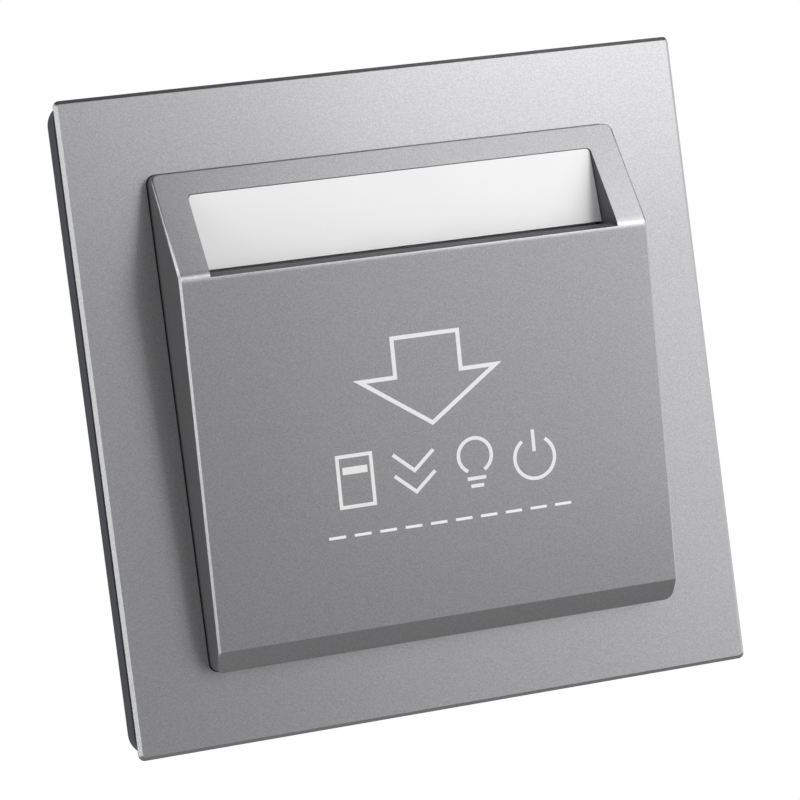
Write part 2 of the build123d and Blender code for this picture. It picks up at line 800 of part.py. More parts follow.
resistor_levels = [resistor_place[1] - count * resistor_pitch for count in range(resistors_fitted)]
resistor_leads = [(resistor_place[0] + count * lead_pitch, level) for level in resistor_levels
                  for count in (-2, 2)]
with BuildPart() as resistors:
    for level in resistor_levels:
        with BuildSketch(side.offset(-resistor_place[0])):
            with Locations((board_rear - resistor_radius, level)):
                Circle(resistor_radius)
        extrude(amount=resistor_length / 2, both=True)
    fillet(resistors.edges().filter_by(GeomType.CIRCLE), radius=component_edge)
    for level in resistor_levels:
        with BuildSketch(side.offset(-resistor_place[0])):
            with Locations((board_rear - resistor_radius, level)):
                Circle(lead_radius)
        extrude(amount=2 * lead_pitch, both=True)
    with BuildSketch(room.offset(board_rear - resistor_radius - lead_radius)):
        with Locations(resistor_leads):
            Circle(lead_radius)
    extrude(amount=resistor_radius + lead_radius + board_thickness + lead_overhang)
resistors.part.label = "resistors"
export_step(resistors.part, "parts/resistors.step")

# Relay: everything is placed from its middle, going back from the board
yoke_x = relay_x + coil_flange_radius + yoke_side_gap
base_rear = board_rear - relay_base_thickness
coil_front = base_rear - yoke_thickness
pole = coil_front - coil_length - pole_rise
yoke_top = pole - armature_air_gap + armature_edge_gap
armature_front = yoke_top - armature_edge_gap
relay_leads = [(relay_x + along * lead_pitch, relay_z + across * lead_pitch)
               for along, across in ((-3, 0), (-2, -2), (-2, 2), (3, -2), (3, 2))]
with BuildPart() as relay_base:
    with BuildSketch(room.offset(board_rear)):
        with Locations((relay_x, relay_z)):
            Rectangle(relay_length, relay_width)
    extrude(amount=-relay_base_thickness)
    with BuildSketch(room.offset(board_rear)):
        with Locations(relay_leads):
            Circle(lead_radius)
    extrude(amount=board_thickness + lead_overhang)
relay_base.part.label = "relay_base"
export_step(relay_base.part, "parts/relay_base.step")

with BuildPart() as relay_cover:
    with BuildSketch(room.offset(base_rear)):
        with Locations((relay_x, relay_z)):
            Rectangle(relay_length, relay_width)
    extrude(amount=-(relay_height - relay_base_thickness))
    fillet(relay_cover.faces().sort_by(Axis.Y)[-1].edges(), radius=relay_edge)
    with BuildSketch(room.offset(base_rear)):
        with Locations((relay_x, relay_z)):
            Rectangle(relay_length - 2 * relay_wall, relay_width - 2 * relay_wall)
    extrude(amount=-(relay_height - relay_base_thickness - relay_wall), mode=Mode.SUBTRACT)
relay_cover.part.label = "relay_cover"
export_step(relay_cover.part, "parts/relay_cover.step")

with BuildPart() as relay_coil:
    with BuildSketch(room.offset(coil_front)):
        with Locations((relay_x, relay_z)):
            Circle(coil_radius)
    extrude(amount=-coil_length)
    for level in (coil_front, coil_front - coil_length + coil_flange):
        with BuildSketch(room.offset(level)):
            with Locations((relay_x, relay_z)):
                Circle(coil_flange_radius)
        extrude(amount=-coil_flange)
    with BuildSketch(room.offset(coil_front)):
        with Locations((relay_x, relay_z)):
            Circle(core_radius + core_gap)
    extrude(amount=-coil_length, mode=Mode.SUBTRACT)
relay_coil.part.label = "relay_coil"
export_step(relay_coil.part, "parts/relay_coil.step")

with BuildPart() as relay_yoke:
    with BuildSketch(room.offset(base_rear)):
        with Locations((relay_x - core_radius - yoke_thickness, relay_z)):
            Rectangle(yoke_x + yoke_thickness - relay_x + core_radius + yoke_thickness, yoke_width,
                      align=(Align.MIN, Align.CENTER))
    extrude(amount=-yoke_thickness)
    with BuildSketch(room.offset(base_rear)):
        with Locations((yoke_x, relay_z)):
            Rectangle(yoke_thickness, yoke_width, align=(Align.MIN, Align.CENTER))
    extrude(amount=yoke_top - base_rear)
    with BuildSketch(room.offset(coil_front)):
        with Locations((relay_x, relay_z)):
            Circle(core_radius)
    extrude(amount=pole - coil_front)
relay_yoke.part.label = "relay_yoke"
export_step(relay_yoke.part, "parts/relay_yoke.step")

# Armature: it tips on the yoke's rear edge, with the contact blade riveted to its back
armature_left = relay_x - armature_reach
armature_right = yoke_x + yoke_thickness
armature_rear = armature_front - armature_thickness
with BuildPart() as relay_armature:
    with BuildSketch(room.offset(armature_front)):
        with Locations((armature_left, relay_z)):
            Rectangle(armature_right - armature_left, yoke_width, align=(Align.MIN, Align.CENTER))
    extrude(amount=-armature_thickness)
relay_armature.part.label = "relay_armature"
export_step(relay_armature.part, "parts/relay_armature.step")

contact_x = armature_left - blade_reach
with BuildPart() as relay_blade:
    with BuildSketch(room.offset(armature_rear)):
        with Locations((contact_x - contact_radius, relay_z)):
            Rectangle(armature_right - contact_x + contact_radius, blade_width,
                      align=(Align.MIN, Align.CENTER))
    extrude(amount=-blade_thickness)
    with BuildSketch(room.offset(armature_rear)):
        with Locations((contact_x, relay_z)):
            Circle(contact_radius)
    extrude(amount=contact_thickness)
relay_blade.part.label = "relay_blade"
export_step(relay_blade.part, "parts/relay_blade.step")

# Fixed contact on a bent post, facing the moving one
with BuildPart() as relay_contact:
    post_head = armature_rear + contact_thickness + contact_gap
    with BuildSketch(room.offset(post_head)):
        with Locations((contact_x, relay_z)):
            Circle(contact_radius)
    extrude(amount=contact_thickness)
    with BuildSketch(room.offset(post_head + contact_thickness)):
        with Locations((contact_x, relay_z)):
            Rectangle(2 * contact_radius, blade_width)
    extrude(amount=contact_post_width)
    with BuildSketch(room.offset(base_rear)):
        with Locations((contact_x - contact_radius, relay_z)):
            Rectangle(contact_post_width, blade_width, align=(Align.MIN, Align.CENTER))
    extrude(amount=post_head + contact_thickness + contact_post_width / 2 - base_rear)
relay_contact.part.label = "relay_contact"
export_step(relay_contact.part, "parts/relay_contact.step")

# Terminals: each screw is held under the block's rear wall and draws its cage back, which lifts
# the wire against the contact bar. They stand open, as the switch is sold.
cage_travel = tightening_turns * thread_pitch
terminal_x = [(count - (terminals - 1) / 2) * terminal_pitch for count in range(terminals)]
terminal_names = ["left", "centre", "right"]
block_bottom = -(box_inner_half - block_gap)
chamber_bottom = block_bottom + block_wall
terminal_z = chamber_bottom + chamber_length / 2
block_top = chamber_bottom + chamber_length + block_end_wall
head_rear = box_inner + block_wall + block_gap
head_front = head_rear + terminal_head
cage_rear = head_front + terminal_head_gap + cage_travel
bar_rear = cage_rear + cage_nut_wall + bar_gap
bar_front = bar_rear + bar_thickness
wire_front = bar_front + wire_space
cage_front = wire_front + cage_wall
riser_z = chamber_bottom + chamber_length + block_gap
window_rear = bar_rear - wire_window_margin
window_front = wire_front + wire_window_margin
bar_places = [(x, riser_z + bar_thickness / 2) for x in terminal_x]

with BuildPart() as terminal_block:
    with BuildSketch(room.offset(box_inner)):
        with Locations((0, (block_bottom + block_top) / 2)):
            Rectangle(terminals * terminal_pitch, block_top - block_bottom)
    extrude(amount=board_rear - box_inner)
    with BuildSketch(room.offset(box_inner + block_wall)):
        with Locations([(x, terminal_z) for x in terminal_x]):
            Rectangle(chamber_width, chamber_length)
    extrude(amount=board_rear - box_inner, mode=Mode.SUBTRACT)
    # Channels for the bars' risers, driver holes and wire entries
    with BuildSketch(room.offset(bar_rear - block_gap)):
        with Locations(bar_places):
            Rectangle(bar_width + 2 * block_gap, bar_thickness + 2 * block_gap)
    extrude(amount=board_rear - box_inner, mode=Mode.SUBTRACT)
    with BuildSketch(room.offset(box_inner)):
        with Locations([(x, terminal_z) for x in terminal_x]):
            Circle(driver_hole_radius)
    extrude(amount=block_wall, mode=Mode.SUBTRACT)
    with BuildSketch(Plane.XY.offset(block_bottom)):
        with Locations([(x, -(window_rear + window_front) / 2) for x in terminal_x]):
            Rectangle(wire_window_width, window_front - window_rear)
    extrude(amount=block_wall, mode=Mode.SUBTRACT)
terminal_block.part.label = "terminal_block"
export_step(terminal_block.part, "parts/terminal_block.step")

with BuildPart() as contact_bars:
    for x in terminal_x:
        with BuildSketch(side.offset(-x)):
            Polygon(
                (bar_rear, chamber_bottom),
                (bar_rear, riser_z + bar_thickness),
                (board_rear, riser_z + bar_thickness),
                (board_rear, riser_z),
                (bar_front, riser_z),
                (bar_front, chamber_bottom),
            )
        extrude(amount=bar_width / 2, both=True)
    with BuildSketch(room.offset(board_rear)):
        with Locations(bar_places):
            Rectangle(bar_tail_width, bar_thickness)
    extrude(amount=board_thickness + lead_overhang)
contact_bars.part.label = "contact_bars"
export_step(contact_bars.part, "parts/contact_bars.step")

for x, name in zip(terminal_x, terminal_names):
    with BuildPart() as cage:
        with BuildSketch(room.offset(cage_rear)):
            with Locations((x, terminal_z)):
                Rectangle(cage_width, cage_length)
        extrude(amount=cage_front - cage_rear)
        with BuildSketch(room.offset(cage_rear + cage_nut_wall)):
            with Locations((x, terminal_z)):
                Rectangle(cage_width - 2 * cage_wall, cage_length)
        extrude(amount=wire_front - cage_rear - cage_nut_wall, mode=Mode.SUBTRACT)
        with BuildSketch(room.offset(cage_rear)):
            with Locations((x, terminal_z)):
                Circle(terminal_screw_radius + thread_gap)
        extrude(amount=cage_nut_wall, mode=Mode.SUBTRACT)
    cage.part.label = f"terminal_cage_{name}"
    export_step(cage.part, f"parts/terminal_cage_{name}.step")

    with BuildPart() as screw:
        with BuildSketch(room.offset(head_rear)):
            with Locations((x, terminal_z)):
                Circle(terminal_head_radius)
        extrude(amount=terminal_head)
        with BuildSketch(room.offset(head_front)):
            with Locations((x, terminal_z)):
                Circle(terminal_screw_radius)
        extrude(amount=bar_rear - block_gap - head_front)
        with BuildSketch(room.offset(head_rear)):
            with Locations((x, terminal_z)):
                Rectangle(2 * terminal_head_radius, driver_slot_width)
        extrude(amount=driver_slot_depth, mode=Mode.SUBTRACT)
    screw.part.label = f"terminal_screw_{name}"
    export_step(screw.part, f"parts/terminal_screw_{name}.step")

# Circuit board with a hole for every lead
leads = (switch_pins + light_leads + film_leads + smoothing_leads + varistor_leads + rectifier_leads
         + chip_leads + resistor_leads + relay_leads)
with BuildPart() as circuit_board:
    with BuildSketch(room.offset(board_rear)):
        RectangleRounded(board_width, board_width, board_corner_radius)
        with GridLocations(2 * boss_spread, 2 * boss_spread, 2, 2):
            Circle(box_screw_radius + box_screw_clearance, mode=Mode.SUBTRACT)
        with Locations(leads):
            Circle(lead_hole_radius, mode=Mode.SUBTRACT)
        with Locations(bar_places):
            Rectangle(bar_tail_width + 2 * block_gap, bar_thickness + 2 * block_gap, mode=Mode.SUBTRACT)
    extrude(amount=board_thickness)
circuit_board.part.label = "circuit_board"
export_step(circuit_board.part, "parts/circuit_board.step")

# Rear box, open towards the room, with bosses that the board rests on
with BuildPart() as rear_box:
    with BuildSketch(room):
        RectangleRounded(box_width, box_width, box_corner_radius)
    extrude(amount=-box_depth)
    with BuildSketch(room):
        RectangleRounded(2 * box_inner_half, 2 * box_inner_half, box_corner_radius - box_wall)
    extrude(amount=box_inner, mode=Mode.SUBTRACT)
    with BuildSketch(room.offset(box_inner)):
        with GridLocations(2 * boss_spread, 2 * boss_spread, 2, 2):
            Circle(boss_radius)
    extrude(amount=board_rear - box_inner)
    with BuildSketch(room.offset(carrier_floor - box_screw_length - box_screw_spare)):
        with GridLocations(2 * boss_spread, 2 * boss_spread, 2, 2):
            Circle(box_screw_radius + box_screw_gap)
    extrude(amount=box_screw_length, mode=Mode.SUBTRACT)
    with BuildSketch(room.offset(box_inner)):
        with Locations([(x, terminal_z) for x in terminal_x]):
            Circle(driver_hole_radius + driver_hole_flare)
    extrude(amount=-box_floor, mode=Mode.SUBTRACT)
    with BuildSketch(Plane.XY.offset(block_bottom)):
        with Locations([(x, -(window_rear + window_front) / 2) for x in terminal_x]):
            Rectangle(wire_window_width + 2 * wire_window_margin,
                      window_front - window_rear + 2 * wire_window_margin)
    extrude(amount=-box_wall - block_gap - overrun, mode=Mode.SUBTRACT)
    # Vents in the top wall
    with BuildSketch(Plane.XY.offset(box_inner_half)):
        with Locations((0, box_depth / 2)):
            with GridLocations(0, vent_pitch, 1, vents):
                SlotOverall(vent_length, vent_width)
    extrude(amount=box_wall, mode=Mode.SUBTRACT)
rear_box.part.label = "rear_box"
export_step(rear_box.part, "parts/rear_box.step")

# Box screws: four long ones through carrier and board into the box's bosses
with BuildPart() as box_screws:
    with BuildSketch(room.offset(carrier_floor)):
        with GridLocations(2 * boss_spread, 2 * boss_spread, 2, 2):
            Circle(box_screw_head_radius)
    extrude(amount=box_screw_head)
    with BuildSketch(room.offset(carrier_floor + box_screw_head)):
        with GridLocations(2 * boss_spread, 2 * boss_spread, 2, 2):
            Rectangle(2 * box_screw_head_radius, driver_slot_width)
            Rectangle(driver_slot_width, 2 * box_screw_head_radius)
    extrude(amount=-driver_slot_depth, mode=Mode.SUBTRACT)
    with BuildSketch(room.offset(carrier_floor)):
        with GridLocations(2 * boss_spread, 2 * boss_spread, 2, 2):
            Circle(box_screw_radius)
    extrude(amount=-box_screw_length)
box_screws.part.label = "box_screws"
export_step(box_screws.part, "parts/box_screws.step")

# Wall screws: a thin neck in the carrier's slot, and a thread that stands out behind the wall plane
with BuildPart() as wall_screws:
    with BuildSketch(room.offset(carrier_floor)):
        with GridLocations(wall_screw_spacing, 0, 2, 1):
            Circle(wall_screw_head_radius)
    extrude(amount=wall_screw_head)
    rims = wall_screws.faces().sort_by(Axis.Y)[:2].edges()
    fillet(rims, radius=wall_screw_edge)
    with BuildSketch(room.offset(carrier_floor + wall_screw_head)):
        with GridLocations(wall_screw_spacing, 0, 2, 1):
            Rectangle(driver_slot_width, 2 * wall_screw_head_radius)
    extrude(amount=-driver_slot_depth, mode=Mode.SUBTRACT)
    with BuildSketch(room.offset(carrier_floor)):
        with GridLocations(wall_screw_spacing, 0, 2, 1):
            Circle(wall_screw_neck_radius)
    extrude(amount=-carrier_floor)
    with BuildSketch(room):
        with GridLocations(wall_screw_spacing, 0, 2, 1):
            Circle(wall_screw_radius)
    extrude(amount=carrier_floor - wall_screw_length)
wall_screws.part.label = "wall_screws"
export_step(wall_screws.part, "parts/wall_screws.step")

# What the joints need, worked out from the sizes
print("lever pivot", (0, -pivot_height, pivot_level))
print("cage travel", cage_travel, "screw turn in degrees", 360 * tightening_turns)
print("cage metres per radian", thread_pitch / 1000 / (2 * pi))
print("terminal middles", [(round(x, 3), round(-head_front, 3), round(terminal_z, 3)) for x in terminal_x])
print("wire space heights", round(bar_front, 3), round(wire_front, 3))
print("armature edge", (round(yoke_x + yoke_thickness, 3), round(-armature_front, 3), relay_z))
print("pole gap", round(pole - armature_front, 3), "lever tip height", round(nose_tip, 3))
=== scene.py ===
# %% [markdown]
# # A hotel key card switch
# The object is a square wall switch. A key card goes into a pocket behind the raised middle, and the room
# has power while it stays there. The CAD model gives every solid in metres: X right and Z up as seen from
# the room, +Y into the wall. This lesson gives those solids their finishes, makes the pieces that follow
# a rule with Geometry Nodes, and lights the whole as a plain studio picture.

import math

import bmesh
import bpy
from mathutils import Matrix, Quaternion, Vector


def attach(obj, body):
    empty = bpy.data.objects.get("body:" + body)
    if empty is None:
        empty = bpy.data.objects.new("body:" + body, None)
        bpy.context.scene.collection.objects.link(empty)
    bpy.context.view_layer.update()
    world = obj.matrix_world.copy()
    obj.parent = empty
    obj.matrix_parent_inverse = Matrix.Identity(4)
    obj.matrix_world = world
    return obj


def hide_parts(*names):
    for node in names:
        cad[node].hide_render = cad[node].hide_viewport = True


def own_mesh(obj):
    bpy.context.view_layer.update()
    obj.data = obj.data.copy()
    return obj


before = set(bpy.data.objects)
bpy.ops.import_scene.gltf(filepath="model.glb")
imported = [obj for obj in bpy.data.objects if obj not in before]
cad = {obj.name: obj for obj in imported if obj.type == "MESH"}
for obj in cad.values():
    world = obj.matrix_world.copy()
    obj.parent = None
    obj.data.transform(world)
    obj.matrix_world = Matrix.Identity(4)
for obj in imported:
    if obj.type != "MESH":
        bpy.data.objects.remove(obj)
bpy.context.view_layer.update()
mm = 0.001

# %% [markdown]
# ## Camera
# The photograph is taken from the left of the switch, a little above its middle, with a long lens and the
# camera rolled, so that the switch leans. The place, aim and roll were found by fitting the four corners
# of the front frame. A constraint could aim the camera. A place, a direction and a roll say the same, are
# easy to read and leave nothing live.

# %% Camera
camera_place = Vector((-126.369, -399.639, 14.719)) * mm
aim_azimuth = 17.5418
aim_elevation = -2.2051
camera_roll = -7.3088
lens_length = 140.096
sensor_width = 36
nearest = 10 * mm


def direction(azimuth, elevation):
    """Unit vector, with azimuth 0 along +Y, 90 along +X, and elevation above the horizon, in degrees."""
    turn, lift = math.radians(azimuth), math.radians(elevation)
    return Vector((math.sin(turn) * math.cos(lift), math.cos(turn) * math.cos(lift), math.sin(lift)))


scene = bpy.context.scene
lens = bpy.data.cameras.new("camera")
lens.lens = lens_length
lens.sensor_fit = "HORIZONTAL"
lens.sensor_width = sensor_width
lens.clip_start = nearest
camera = bpy.data.objects.new("camera", lens)
scene.collection.objects.link(camera)
camera.location = camera_place
unrolled = direction(aim_azimuth, aim_elevation).to_track_quat("-Z", "Y")
camera.rotation_mode = "QUATERNION"
camera.rotation_quaternion = unrolled @ Quaternion((0, 0, 1), math.radians(camera_roll))
scene.camera = camera
print("camera at", [round(v, 4) for v in camera.location])

# %% [markdown]
# ## Nodes and colours
# One function adds a node, sets its options and fills its inputs: a socket makes a link, anything else is
# a value. It serves shader trees and Geometry Nodes alike. Another turns a colour written as sRGB hex
# into the linear values that Blender works with.

# %% Node helper and colour helper


def add(tree, kind, inputs=None, **options):
    """Adds a node. An input is named or numbered; a socket is linked to it and a value is set on it."""
    made = tree.nodes.new(kind)
    for name, value in options.items():
        setattr(made, name, value)
    for key, value in (inputs or {}).items():
        if isinstance(value, bpy.types.NodeSocket):
            tree.links.new(value, made.inputs[key])
        else:
            made.inputs[key].default_value = value
    return made


def linear(code):
    """sRGB hex, such as 8A8C92, as linear red, green, blue and alpha, by the sRGB standard's curve."""
    shares = [int(code[place:place + 2], 16) / 255 for place in (0, 2, 4)]
    return tuple(s / 12.92 if s <= 0.04045 else ((s + 0.055) / 1.055) ** 2.4 for s in shares) + (1.0,)


print("8A8C92 is", [round(value, 3) for value in linear("8A8C92")], "in linear values")

# %% [markdown]
# ## World and floor
# The background of the picture is pure white, so camera rays find white. Light through clear plastic
# finds the same white. A panorama of a studio could light the rest, but a few rules are easier to steer.
# Reflections find white where a white sheet behind the switch would stand, within a narrow cone round the
# camera's view. Beyond that sheet they find a dim room, darker behind the switch and overhead, so that
# the housing's left side and the top bevel stay as dark as in the photograph. All other light is even and
# weak. A pale floor lies below the view, where the object's shadow falls.

# %% World
room_grey = 0.38
dark_grey = 0.03
room_until = -0.3
dark_from = 0.2
overhead_share = 0.2
overhead_from = 0.5
overhead_full = 0.9
backdrop_edge = math.cos(math.radians(21))
backdrop_middle = math.cos(math.radians(15))
fill_light = 0.3

world = bpy.data.worlds.new("studio")
scene.world = world
world.use_nodes = True
sky = world.node_tree
sky.nodes.clear()
rays = add(sky, "ShaderNodeLightPath").outputs
ray_way = add(sky, "ShaderNodeTexCoord").outputs["Generated"]
way = add(sky, "ShaderNodeSeparateXYZ", {0: ray_way}).outputs
room = add(sky, "ShaderNodeMapRange", {
    0: way["Y"], 1: room_until, 2: dark_from, 3: room_grey, 4: dark_grey})
overhead = add(sky, "ShaderNodeMapRange", {
    0: way["Z"], 1: overhead_from, 2: overhead_full, 3: 1.0, 4: overhead_share})
dim = add(sky, "ShaderNodeMath", {0: room.outputs[0], 1: overhead.outputs[0]}, operation="MULTIPLY")
off_axis = add(sky, "ShaderNodeVectorMath", {0: ray_way, 1: direction(aim_azimuth, aim_elevation)},
               operation="DOT_PRODUCT")
sheet = add(sky, "ShaderNodeMapRange", {0: off_axis.outputs["Value"], 1: backdrop_edge, 2: backdrop_middle})
mirrored = add(sky, "ShaderNodeMix", {0: sheet.outputs[0], 2: dim.outputs[0], 3: 1.0})
plain = add(sky, "ShaderNodeMix", {0: rays["Is Glossy Ray"], 2: fill_light, 3: mirrored.outputs[0]})
straight = add(sky, "ShaderNodeMath", {0: rays["Is Camera Ray"], 1: rays["Is Transmission Ray"]},
               operation="MAXIMUM")
strength = add(sky, "ShaderNodeMix", {0: straight.outputs[0], 2: plain.outputs[0], 3: 1.0})
shine = add(sky, "ShaderNodeBackground", {"Color": linear("FFFFFF"), "Strength": strength.outputs[0]})
add(sky, "ShaderNodeOutputWorld", {"Surface": shine.outputs[0]})
scene.view_settings.view_transform = "Standard"
print("world with", len(sky.nodes), "nodes")

# %% Floor
floor_level = -0.35
floor_half = 1.1
floor_tone = "CCCCCC"


def new_finish(name):
    """An empty material, as (material, its tree)."""
    made = bpy.data.materials.new(name)
    made.use_nodes = True
    made.node_tree.nodes.clear()
    return made, made.node_tree


def finished(made, surface):
    """Ends a material with this surface node, and returns it."""
    add(made.node_tree, "ShaderNodeOutputMaterial", {"Surface": surface.outputs[0]})
    return made


floor_mesh = bpy.data.meshes.new("floor")
floor_mesh.from_pydata(
    [(x * floor_half, y * floor_half, floor_level) for x, y in ((-1, -1), (1, -1), (1, 1), (-1, 1))],
    [], [(0, 1, 2, 3)])
floor = bpy.data.objects.new("floor", floor_mesh)
scene.collection.objects.link(floor)
floor_paint, paint_tree = new_finish("floor_paint")
matt = add(paint_tree, "ShaderNodeBsdfDiffuse", {"Color": linear(floor_tone)})
floor_mesh.materials.append(finished(floor_paint, matt))
print("floor at", floor_level)

# %% [markdown]
# ## Lamps
# A satin lacquer shows what it mirrors, blurred. Small softboxes close to the upper right make every face
# brighter towards that corner and give the soft shadow at the housing's left, and one almost straight
# ahead lights the ridge's left end. Two panels far off at the front right are what the wide faces mirror.
# A tall strip at the left lights the left bevel and the housing's left edge, and a lamp above it the
# slope's. Sun lamps would light each face evenly all over, so area lamps are used. A lamp is written by
# how bright its surface looks, and its watts follow from its area.

# %% Softboxes
target = Vector((0.0, -0.005, 0.0))


def softbox(name, azimuth, elevation, distance, width, height, brightness):
    """A rectangular lamp that faces the switch. Azimuth 0 is straight out into the room, 90 right of it."""
    light = bpy.data.lights.new(name, "AREA")
    light.shape = "RECTANGLE"
    light.size = width
    light.size_y = height
    light.energy = brightness * math.pi * width * height
    lamp = bpy.data.objects.new(name, light)
    scene.collection.objects.link(lamp)
    away = direction(180 - azimuth, elevation)
    lamp.location = target + away * distance
    lamp.rotation_euler = (-away).to_track_quat("-Z", "Y").to_euler()
    return lamp


# Name, azimuth and elevation in degrees, then distance, width and height in metres, and brightness.
softboxes = [
    ("ridge_key", 27, 28, 0.32, 0.08, 0.07, 6.0),
    ("ridge_left", 6.5, 29, 0.31, 0.06, 0.06, 3.4),
    ("key_high", 50, 40, 0.30, 0.12, 0.12, 3.6),
    ("top_light", 45, 62, 0.30, 0.12, 0.12, 1.9),
    ("side_light", 60, 5, 0.30, 0.12, 0.12, 0.3),
    ("low_key", 38, -8, 0.27, 0.10, 0.10, 0.55),
    ("front_panel", 25, 13, 1.5, 0.45, 0.6, 3.9),
    ("low_panel", 24, -12, 1.5, 0.45, 0.6, 0.85),
    ("right_wall", 55, 5, 1.5, 0.7, 1.2, 2.3),
    ("left_strip", -72, 0, 1.2, 0.35, 1.2, 3.3),
    ("left_high", -96, 35, 1.2, 0.4, 0.4, 4.0),
    ("right_strip", 108, 0, 1.2, 0.3, 1.2, 2.0),
]
for values in softboxes:
    softbox(*values)
print(len(softboxes), "softboxes")

# %% [markdown]
# ## Lacquer
# The frame and the housing are moulded plastic, sprayed with a silver-grey lacquer. Fine aluminium flakes
# in it make it shine like satin metal, with a grain that is just seen. The flakes are about 0.03 mm, too
# fine to show here, so they are drawn 0.1 mm wide, as a faint change of colour and gloss from cell to
# cell. A clear coat over them gives the sharp light lines along the edges, with a very weak orange peel.
# One even metallic colour would do from afar, but near by it looks like bare sheet metal.

# %% Lacquer


def lacquered_plastic(name, dark, light, metal, roughness):
    """Metallic lacquer: two greys by flake, satin, with a weak orange peel."""
    made, tree = new_finish(name)
    flake_width = 0.1 * mm
    peel_width = 1.5 * mm
    peel_depth = 0.01 * mm
    gloss_spread = 0.02
    place = add(tree, "ShaderNodeTexCoord").outputs["Object"]
    flakes = add(tree, "ShaderNodeTexVoronoi", {"Vector": place, "Scale": 1 / flake_width})
    spread = add(tree, "ShaderNodeSeparateColor", {0: flakes.outputs["Color"]})
    shade = add(tree, "ShaderNodeMix", {0: spread.outputs[0], 6: linear(dark), 7: linear(light)},
                data_type="RGBA")
    gloss = add(tree, "ShaderNodeMapRange", {
        0: spread.outputs[1], 3: roughness - gloss_spread, 4: roughness + gloss_spread})
    peel = add(tree, "ShaderNodeTexNoise", {"Vector": place, "Scale": 1 / peel_width, "Detail": 2.0})
    slope = add(tree, "ShaderNodeBump", {
        "Height": peel.outputs["Fac"], "Strength": 0.1, "Distance": peel_depth})
    return finished(made, add(tree, "ShaderNodeBsdfPrincipled", {
        "Base Color": shade.outputs[2], "Metallic": metal, "Roughness": gloss.outputs[0],
        "Normal": slope.outputs[0], "Coat Weight": 0.5, "Coat Roughness": 0.12}))


frame_lacquer = lacquered_plastic("silver_grey_lacquer", "8E8E90", "A2A2A4", 0.88, 0.33)
print("lacquer ready")

# %% [markdown]
# ## Moulded plastics
# The pieces inside and behind are injection moulded. Such plastic has a skin with a very fine texture
# from the mould, a slightly uneven gloss and almost no change of colour. A material each could be built
# by hand, but they differ little, so one function makes them all from a colour, a gloss and the width of
# the grain.

# %% Moulded plastics
# Most values of a noise lie between these two.
noise_low = 0.3
noise_high = 0.7


def toned(code, share):
    """A hex colour in linear values, made darker or lighter by a share."""
    return tuple(min(value * share, 1.0) for value in linear(code)[:3]) + (1.0,)


def moulded_plastic(name, code, roughness, grain=0.35, depth=0.008, cloud=0.06):
    """Injection-moulded plastic: fine skin, faint clouds, uneven gloss. Grain and depth are in mm."""
    made, tree = new_finish(name)
    cloud_width = 9 * mm
    gloss_spread = 0.05
    place = add(tree, "ShaderNodeTexCoord").outputs["Object"]
    fine = add(tree, "ShaderNodeTexNoise", {"Vector": place, "Scale": 1 / (grain * mm), "Detail": 2.0})
    broad = add(tree, "ShaderNodeTexNoise", {"Vector": place, "Scale": 1 / cloud_width, "Detail": 3.0})
    shade = add(tree, "ShaderNodeMix", {
        0: broad.outputs["Fac"], 6: toned(code, 1 - cloud), 7: toned(code, 1 + cloud)}, data_type="RGBA")
    gloss = add(tree, "ShaderNodeMapRange", {
        0: broad.outputs["Fac"], 1: noise_low, 2: noise_high, 3: roughness - gloss_spread,
        4: roughness + gloss_spread})
    skin = add(tree, "ShaderNodeBump", {
        "Height": fine.outputs["Fac"], "Strength": 0.3, "Distance": depth * mm})
    return finished(made, add(tree, "ShaderNodeBsdfPrincipled", {
        "Base Color": shade.outputs[2], "Roughness": gloss.outputs[0], "Normal": skin.outputs[0]}))


carrier_plastic = moulded_plastic("carrier_abs", "5A5C62", 0.55)
# The dark plastic is painted shade inside the housing's mouth, and bare plastic inside its shell.
shade_and_bare_plastic = moulded_plastic("shade_and_bare_dark_abs", "4B4B50", 0.5)
panel_plastic = moulded_plastic("milky_acrylic", "E7E7E7", 0.35, depth=0.002, cloud=0.01)
guide_plastic = moulded_plastic("white_abs", "D8D8D4", 0.5)
lever_plastic = moulded_plastic("black_acetal", "202022", 0.4)
switch_plastic = moulded_plastic("black_polyester", "161618", 0.5)
plunger_plastic = moulded_plastic("red_nylon", "8E1F1A", 0.45)
film_box = moulded_plastic("yellow_box", "D9A826", 0.45)
sleeve_plastic = moulded_plastic("dark_shrink_sleeve", "1B2140", 0.3)
varistor_coat = moulded_plastic("blue_epoxy_coat", "28508C", 0.4, depth=0.02)
chip_epoxy = moulded_plastic("black_epoxy", "1A1A1B", 0.6)
resistor_coat = moulded_plastic("beige_lacquer", "CDB68A", 0.35)
relay_cover_plastic = moulded_plastic("blue_relay_cover", "28467E", 0.35)
relay_base_plastic = moulded_plastic("black_relay_base", "1C1C1E", 0.5)
block_plastic = moulded_plastic("dark_polyamide", "3A3B3F", 0.5)
box_plastic = moulded_plastic("off_white_polycarbonate", "D6D6D0", 0.5, grain=0.5, depth=0.015)
light_plastic = moulded_plastic("milky_lens", "E6E2D2", 0.25, depth=0.001, cloud=0.01)
print("moulded plastics ready")

# %% [markdown]
# ## Metals
# Screws and cages are steel with a thin bright zinc plate, the leads are tinned, the contact strip is
# brass. Rolled or drawn metal has a streaky gloss along its length, which a stretched noise gives. An
# anisotropic shader would give it too, but needs a tangent on each piece.

# %% Metals


